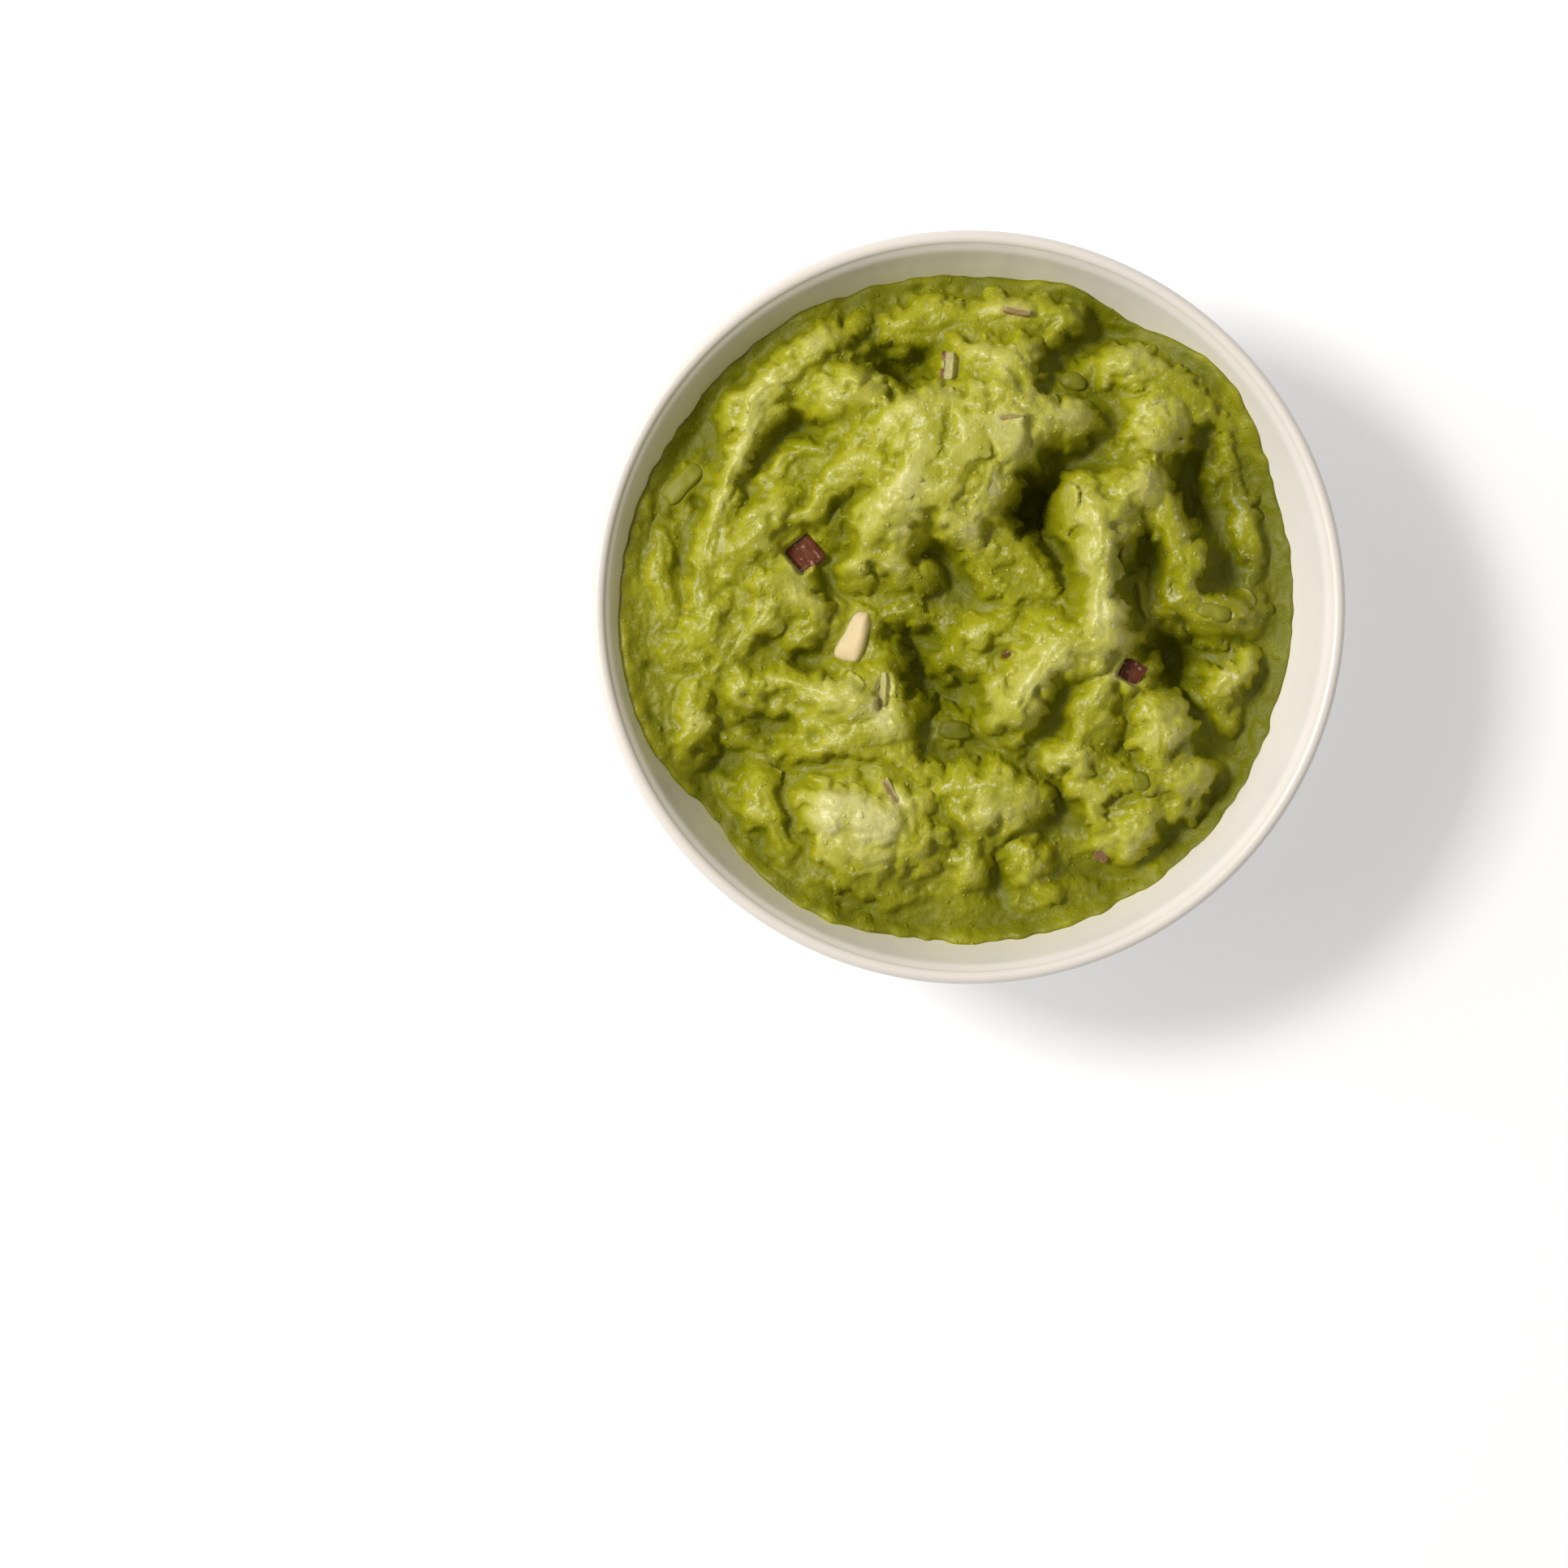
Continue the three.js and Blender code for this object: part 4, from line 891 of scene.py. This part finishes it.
# where the mash is paler or, below 0, greener and darker than elsewhere: x, y, reach and how much
# some are the mash's own colour, many are painted: painted shade in the basin, on the right and along the
# right wall, painted light on spots that lie in shade
PALE_AND_SHADED_PLACES = [
    (-18, -31, 7, 0.22), (-22, -30, 3, 0.08), (-13, -33, 3.5, 0.1), (-19, -5, 4, 0.15), (20, 0, 3.5, 0.12),
    (6, -15, 4, 0.08), (-8, 20, 5, 0.08), (-43, -18, 2.5, 0.1), (3, -31, 3, 0.12), (28, -19, 3, 0.06),
    (-17, 6, 2, 0.1), (-10, 11, 2, 0.1), (5, 24, 2.5, 0.08), (-5, -34, 2, 0.1), (24, 2, 2.5, 0.08),
    (42, 4, 7, -0.36), (-7, -8, 6, -0.28), (-2, -17, 5, -0.15), (33, -6, 4, -0.2), (33, 20, 3.5, -0.15),
    (38, 9, 4, -0.15), (42, 18, 5, -0.26), (20, 43, 4, -0.2), (14, 36, 4, -0.15), (-10, 36, 4, -0.12),
    (-38, -20, 4, -0.12), (6, 11, 4, -0.15), (17, 24, 2.5, -0.12), (12, -31, 3, -0.1), (-46, 18, 3, -0.12),
    (-42, 28, 3, -0.2), (-33, 38, 3, -0.15), (3, -40, 2.5, -0.06), (18, -41, 3, -0.05), (-9, -42, 3, -0.05),
    (-20, -44, 2.5, -0.05), (26, -26, 2.5, -0.1), (35, -20, 2.5, -0.1), (44, -18, 4, -0.12),
    (38, -28, 4, -0.1), (28, 9, 3, -0.1), (-6, 3, 3, -0.1), (38, -1, 3.5, -0.2), (6, 29, 6, -0.08),
    (20, 22, 4, -0.1), (0, -28, 3, -0.08), (16, -4, 3, -0.08), (31, 5, 4.5, -0.26), (31, 14, 3, -0.14),
    (29, -15, 3, -0.14), (37, -11, 3, -0.12), (-2, -3, 3, -0.15), (9, 5, 3, -0.12), (25, -31, 3, -0.12),
    (-16, 1, 2.5, 0.15), (-8, 13, 3, 0.15), (-28, 30, 3, 0.12), (-23, 11, 2.5, 0.12), (47.5, 9, 3.5, -0.22),
    (47.5, -2, 3, -0.2), (46, 17, 3, -0.16), (45.5, -12, 3, -0.12), (40, 13, 2.5, -0.12),
]
# random paler and greener patches, a pale halo round the onion bits, and painted light on the carved ridges
# and painted shade in the carved valleys
pale = 0.04 * cloud(14.0) + 0.03 * cloud(6.0) + 0.18 * beside + 0.04 * carved
for x0, y0, spread, amount in PALE_AND_SHADED_PLACES:
    pale += 0.85 * amount * np.exp(-((grid_x - x0) ** 2 + (grid_y - y0) ** 2) / spread**2)


def mash_points():
    """The mash's top as rings, with each point's tint, how high it stands out and how pale it is; the last
    two carry painted light and painted shade.
    """
    rings = [np.zeros((1, 2))]
    for ring in range(1, MASH_RINGS + 1):
        turns = np.arange(6 * ring) * 2 * math.pi / (6 * ring)
        radius = np.interp(turns, edge_turns, edge_radii, period=2 * math.pi) * ring / MASH_RINGS
        rings.append(np.stack([radius * np.cos(turns), radius * np.sin(turns)], axis=1))
    flat = np.concatenate(rings)
    x, y = flat[:, 0], flat[:, 1]
    gy, gx = np.gradient(blur(form, 0.8), GRID_STEP)
    nx, ny = -sample(gx, x, y), -sample(gy, x, y)
    size = np.sqrt(nx * nx + ny * ny + 1)
    push = np.clip(sample(detail, x, y) / size**1.5, -0.9, 0.9)
    gap = edge_at(x, y) - np.hypot(x, y)
    apart = np.clip(gap / 2.4, 0, 1)
    even = sample(blur(form, 1.6), x, y)
    z = sample(form, x, y) * apart + even * (1 - apart) - 1.3 * np.exp(-gap / 0.8)
    calm = np.clip(gap / 2.0, 0, 1) ** 2
    push *= calm
    points = np.stack([x + push * nx / size, y + push * ny / size, z + push / size], axis=1)
    reach = inner_radius(np.minimum(points[:, 2], BOWL_HEIGHT)) - 0.1
    points[:, :2] *= np.minimum(1, reach / np.maximum(np.hypot(points[:, 0], points[:, 1]), 1e-6))[:, None]
    return points, sample(tint, x, y), sample(relief_shade, x, y), sample(pale, x, y)


points, tints, relief_shade_values, pale_and_shade_values = mash_points()
# its crests are pressed down softly below the top of the frame's solid
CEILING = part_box("guacamole")[1].z / MM - 0.4
soft_from = CEILING - 1
points[:, 2] = np.where(points[:, 2] > soft_from, CEILING - np.exp(soft_from - points[:, 2]), points[:, 2])
ring_starts = [0] + [1 + 3 * ring * (ring - 1) for ring in range(1, MASH_RINGS + 2)]

faces = []
for ring in range(1, MASH_RINGS + 1):
    inner_count, outer_count = max(6 * (ring - 1), 1), 6 * ring
    inner_first, outer_first = ring_starts[ring - 1] if ring > 1 else 0, ring_starts[ring]
    i = j = 0
    while j < outer_count or (inner_count > 1 and i < inner_count):
        a = inner_first + i % inner_count
        b = outer_first + j % outer_count
        if inner_count > 1 and i < inner_count and (i + 1) / inner_count <= (j + 1) / outer_count:
            faces.append((a, b, inner_first + (i + 1) % inner_count))
            i += 1
        else:
            faces.append((a, b, outer_first + (j + 1) % outer_count))
            j += 1

# down the wall and across the floor, out of sight
rim_count = 6 * MASH_RINGS
rim_first = ring_starts[MASH_RINGS]
rim = points[rim_first:]
rim_turns = np.arctan2(rim[:, 1], rim[:, 0])
rim_reach = inner_radius(rim[:, 2]) + 0.15
points[rim_first:, 0], points[rim_first:, 1] = rim_reach * np.cos(rim_turns), rim_reach * np.sin(rim_turns)
rows = [points]
for share in np.linspace(1, 0, WALL_ROWS + 1)[1:] ** 1.4:
    z = FLOOR_TOP + 0.2 + (rim[:, 2] - FLOOR_TOP - 0.2) * share
    reach = np.maximum(inner_radius(z) - 0.1, 0.5)
    rows.append(np.stack([reach * np.cos(rim_turns), reach * np.sin(rim_turns), z], axis=1))
all_points = np.concatenate(rows + [np.array([[0, 0, FLOOR_TOP + 0.2]])])
last = len(all_points) - 1
for row in range(WALL_ROWS):
    upper = rim_first + row * rim_count
    for i in range(rim_count):
        j = (i + 1) % rim_count
        faces.append((upper + i, upper + rim_count + i, upper + rim_count + j, upper + j))
lowest = rim_first + WALL_ROWS * rim_count
faces += [(lowest + i, last, lowest + (i + 1) % rim_count) for i in range(rim_count)]

mash_mesh = bpy.data.meshes.new("mashed_avocado")
mash_mesh.from_pydata((all_points * MM).tolist(), [], faces)
mash_mesh.polygons.foreach_set("use_smooth", [True] * len(mash_mesh.polygons))
for label, values in (("tint", tints), ("relief_shade", relief_shade_values), ("pale", pale_and_shade_values)):
    padded = np.zeros(len(all_points))
    padded[: len(values)] = values
    paint(mash_mesh, label, padded.astype(np.float32))
mash = new_object("mashed_avocado", mash_mesh)


def mash_material(name, translucency):
    """Wet mashed avocado, olive to yellow-green. How far it stands out sets its colour: painted shade darkens
    its folds and painted light brightens its crests.
    """
    shader = Shader(name)
    place = shader.node("ShaderNodeTexCoord").outputs["Object"]
    # 0 deep in the folds, 1 on the crests: the ramp below paints shade into the folds and light onto the
    #                                       crests; it also sets roughness and coat
    depth = shader.share(shader.painted("relief_shade"), -1.6, 1.3)
    mottle = shader.noise(420, 3, 0.6, place)
    mixed = shader.plus(shader.times(depth, 0.5), shader.times(shader.painted("tint"), 0.12))
    mixed = shader.plus(shader.plus(mixed, shader.times(mottle, 0.24)), 0.065)
    # paleness and painted light and shade from the places listed with the mash
    mixed = shader.plus(mixed, shader.painted("pale"))
    green = shader.ramp(mixed, [
        (0.18, (0.175, 0.178, 0.0006)), (0.40, (0.262, 0.256, 0.001)),
        (0.62, (0.38, 0.366, 0.011)), (0.80, (0.50, 0.475, 0.082)), (0.95, (0.62, 0.585, 0.22)),
    ])
    # pale specks on the crests: partly pulp, partly painted glints of wet highlights
    fleck_and_glint = shader.ramp(shader.noise(900, 2, 0.6, place), [(0.60, (0, 0, 0)), (0.72, (1, 1, 1))])
    green = shader.mix(shader.times(fleck_and_glint, shader.times(depth, 0.7)), green, (0.70, 0.66, 0.38, 1))
    fine = shader.bump(0.5, 0.3 * MM, shader.noise(1900, 3, 0.65, place))
    wet = shader.times(shader.noise(700, 2, 0.6, place), 0.4)
    rough = shader.plus(shader.math("SUBTRACT", wet, shader.times(depth, 0.3)), 0.32)
    shader.set(Base_Color=green, Roughness=rough, Normal=fine)
    shader.set(Subsurface_Weight=translucency, Subsurface_Scale=0.0006, Subsurface_Radius=(1.0, 0.9, 0.15))
    shader.set(IOR=1.4, Specular_IOR_Level=0.4)
    shader.set(Coat_Weight=shader.times(depth, 0.3), Coat_Roughness=0.27, Coat_IOR=1.35)
    return shader.material


mash_mesh.materials.append(mash_material("mashed avocado", 0.7))
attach(mash, "root")
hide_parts("guacamole")

# ---- Crumbs ------------------------------------------------------------------------------
# What the fork crushed smallest: soft crumbs of avocado all over the mash, and a few specks of
# onion between them. Geometry Nodes scatters them, and they are kept as plain meshes.

CRUMBS_PER_METRE = 130000  # of surface, squared
RIPPLE = 0.4 * MM  # how uneven each crumb is
SPECK_PLACES = [
    (-27.0, -19.7), (-6.5, 7.8), (13.0, -2.0), (-7.5, 19.0), (28.5, 31.0), (31.0, -26.0),
    (-33.0, -30.0), (5.4, 19.2), (1.2, 35.4), (-9.4, -27.0),
]


def random_vector(build, low, high, seed):
    inputs = {0: low, 1: high, 8: seed}
    return build.node("FunctionNodeRandomValue", inputs, data_type="FLOAT_VECTOR").outputs[0]


def scaled(build, vector, amount):
    return build.node("ShaderNodeVectorMath", {0: vector, "Scale": amount}, operation="SCALE").outputs[0]


def scatter_tree(name, at_points, material):
    """A node tree that sets small lumps on a mesh: at its points, or all over its upper side."""
    tree = bpy.data.node_groups.new(name, "GeometryNodeTree")
    tree.interface.new_socket("Surface", in_out="INPUT", socket_type="NodeSocketGeometry")
    for label in ("Density", "Smallest", "Largest", "Paleness"):
        tree.interface.new_socket(label, in_out="INPUT", socket_type="NodeSocketFloat")
    tree.interface.new_socket("Seed", in_out="INPUT", socket_type="NodeSocketInt")
    tree.interface.new_socket("Lumps", in_out="OUTPUT", socket_type="NodeSocketGeometry")
    build = Nodes(tree)
    given = build.node("NodeGroupInput").outputs
    turn = random_vector(build, (-0.4, -0.4, 0.0), (0.4, 0.4, 6.28), 9)
    if at_points:
        points = build.node("GeometryNodeMeshToPoints", {"Mesh": given["Surface"]}).outputs["Points"]
        outwards = (0.0, 0.0, 1.0)
    else:
        normal = build.node("GeometryNodeInputNormal").outputs[0]
        upright = build.node("ShaderNodeSeparateXYZ", {0: normal}).outputs["Z"]
        facing_up = build.node("FunctionNodeCompare", {0: upright, 1: 0.45}, data_type="FLOAT")
        spread = build.node("GeometryNodeDistributePointsOnFaces", {
            "Mesh": given["Surface"], "Selection": facing_up.outputs[0],
            "Density": given["Density"], "Seed": given["Seed"],
        }).outputs
        points, outwards = spread["Points"], spread["Normal"]
        turn = build.node("FunctionNodeRotateRotation", {
            "Rotation": spread["Rotation"], "Rotate By": turn,
        }, rotation_space="LOCAL").outputs[0]
    lump = build.node("GeometryNodeMeshUVSphere", {"Segments": 8, "Rings": 6, "Radius": 1.0}).outputs["Mesh"]
    size = build.node("FunctionNodeRandomValue", {
        2: given["Smallest"], 3: given["Largest"], 8: given["Seed"],
    }).outputs[1]
    stretch = random_vector(build, (0.8, 0.6, 0.4), (1.5, 1.0, 0.6), 5)
    depth = build.node("ShaderNodeMath", {0: given["Smallest"], 1: -0.4}, operation="MULTIPLY").outputs[0]
    sink = scaled(build, outwards, depth)
    points = build.node("GeometryNodeSetPosition", {"Geometry": points, "Offset": sink}).outputs[0]
    lumps = build.node("GeometryNodeInstanceOnPoints", {
        "Points": points, "Instance": lump, "Rotation": turn, "Scale": scaled(build, stretch, size),
    }).outputs["Instances"]
    own = build.node("FunctionNodeRandomValue", {2: 0.0, 3: 1.0, 8: 13}).outputs[1]
    for label, value in (("tint", own), ("under_skin", given["Paleness"])):
        lumps = build.node("GeometryNodeStoreNamedAttribute", {
            "Geometry": lumps, "Name": label, "Value": value,
        }, data_type="FLOAT", domain="INSTANCE").outputs[0]
    lumps = build.node("GeometryNodeRealizeInstances", {"Geometry": lumps}).outputs[0]
    ripple = build.node("ShaderNodeTexNoise", {"Scale": 900.0, "Detail": 1.0}).outputs["Color"]
    about_zero = {0: ripple, 1: (0.5, 0.5, 0.5)}
    ripple = build.node("ShaderNodeVectorMath", about_zero, operation="SUBTRACT").outputs[0]
    offset = scaled(build, ripple, RIPPLE)
    lumps = build.node("GeometryNodeSetPosition", {"Geometry": lumps, "Offset": offset}).outputs[0]
    lumps = build.node("GeometryNodeSetShadeSmooth", {"Geometry": lumps}).outputs[0]
    lumps = build.node("GeometryNodeSetMaterial", {"Geometry": lumps, "Material": material}).outputs[0]
    build.node("NodeGroupOutput", {"Lumps": lumps})
    return tree


def scatter(name, surface, tree, slot, **inputs):
    """Runs the tree on a mesh and keeps what it makes as a plain mesh."""
    piece = new_object(name, surface)
    modifier = piece.modifiers.new("scatter", "NODES")
    modifier.node_group = tree
    for socket in tree.interface.items_tree:
        if socket.name in inputs:
            modifier[socket.identifier] = inputs[socket.name]
    evaluated = piece.evaluated_get(bpy.context.evaluated_depsgraph_get())
    made = bpy.data.meshes.new_from_object(evaluated)
    piece.modifiers.clear()
    piece.data = made
    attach(piece, "root")


crumb_look = mash_material("avocado crumb", 0.0)  # too small to let light through
crumb_tree = scatter_tree("avocado crumbs", False, crumb_look)
scatter(
    "avocado_crumbs", mash_mesh.copy(), crumb_tree, "mash",
    Density=CRUMBS_PER_METRE, Smallest=0.18 * MM, Largest=0.4 * MM, Seed=4,
)

speck_x, speck_y = np.array(SPECK_PLACES).T
speck_z = sample(form + detail, speck_x, speck_y)
speck_points = bpy.data.meshes.new("speck_places")
speck_points.from_pydata((np.stack([speck_x, speck_y, speck_z], axis=1) * MM).tolist(), [], [])
speck_tree = scatter_tree("onion specks", True, onion_look)
scatter(
    "onion_specks", speck_points, speck_tree, "red_onion",
    Smallest=0.35 * MM, Largest=0.6 * MM, Paleness=2.0, Seed=2,
)
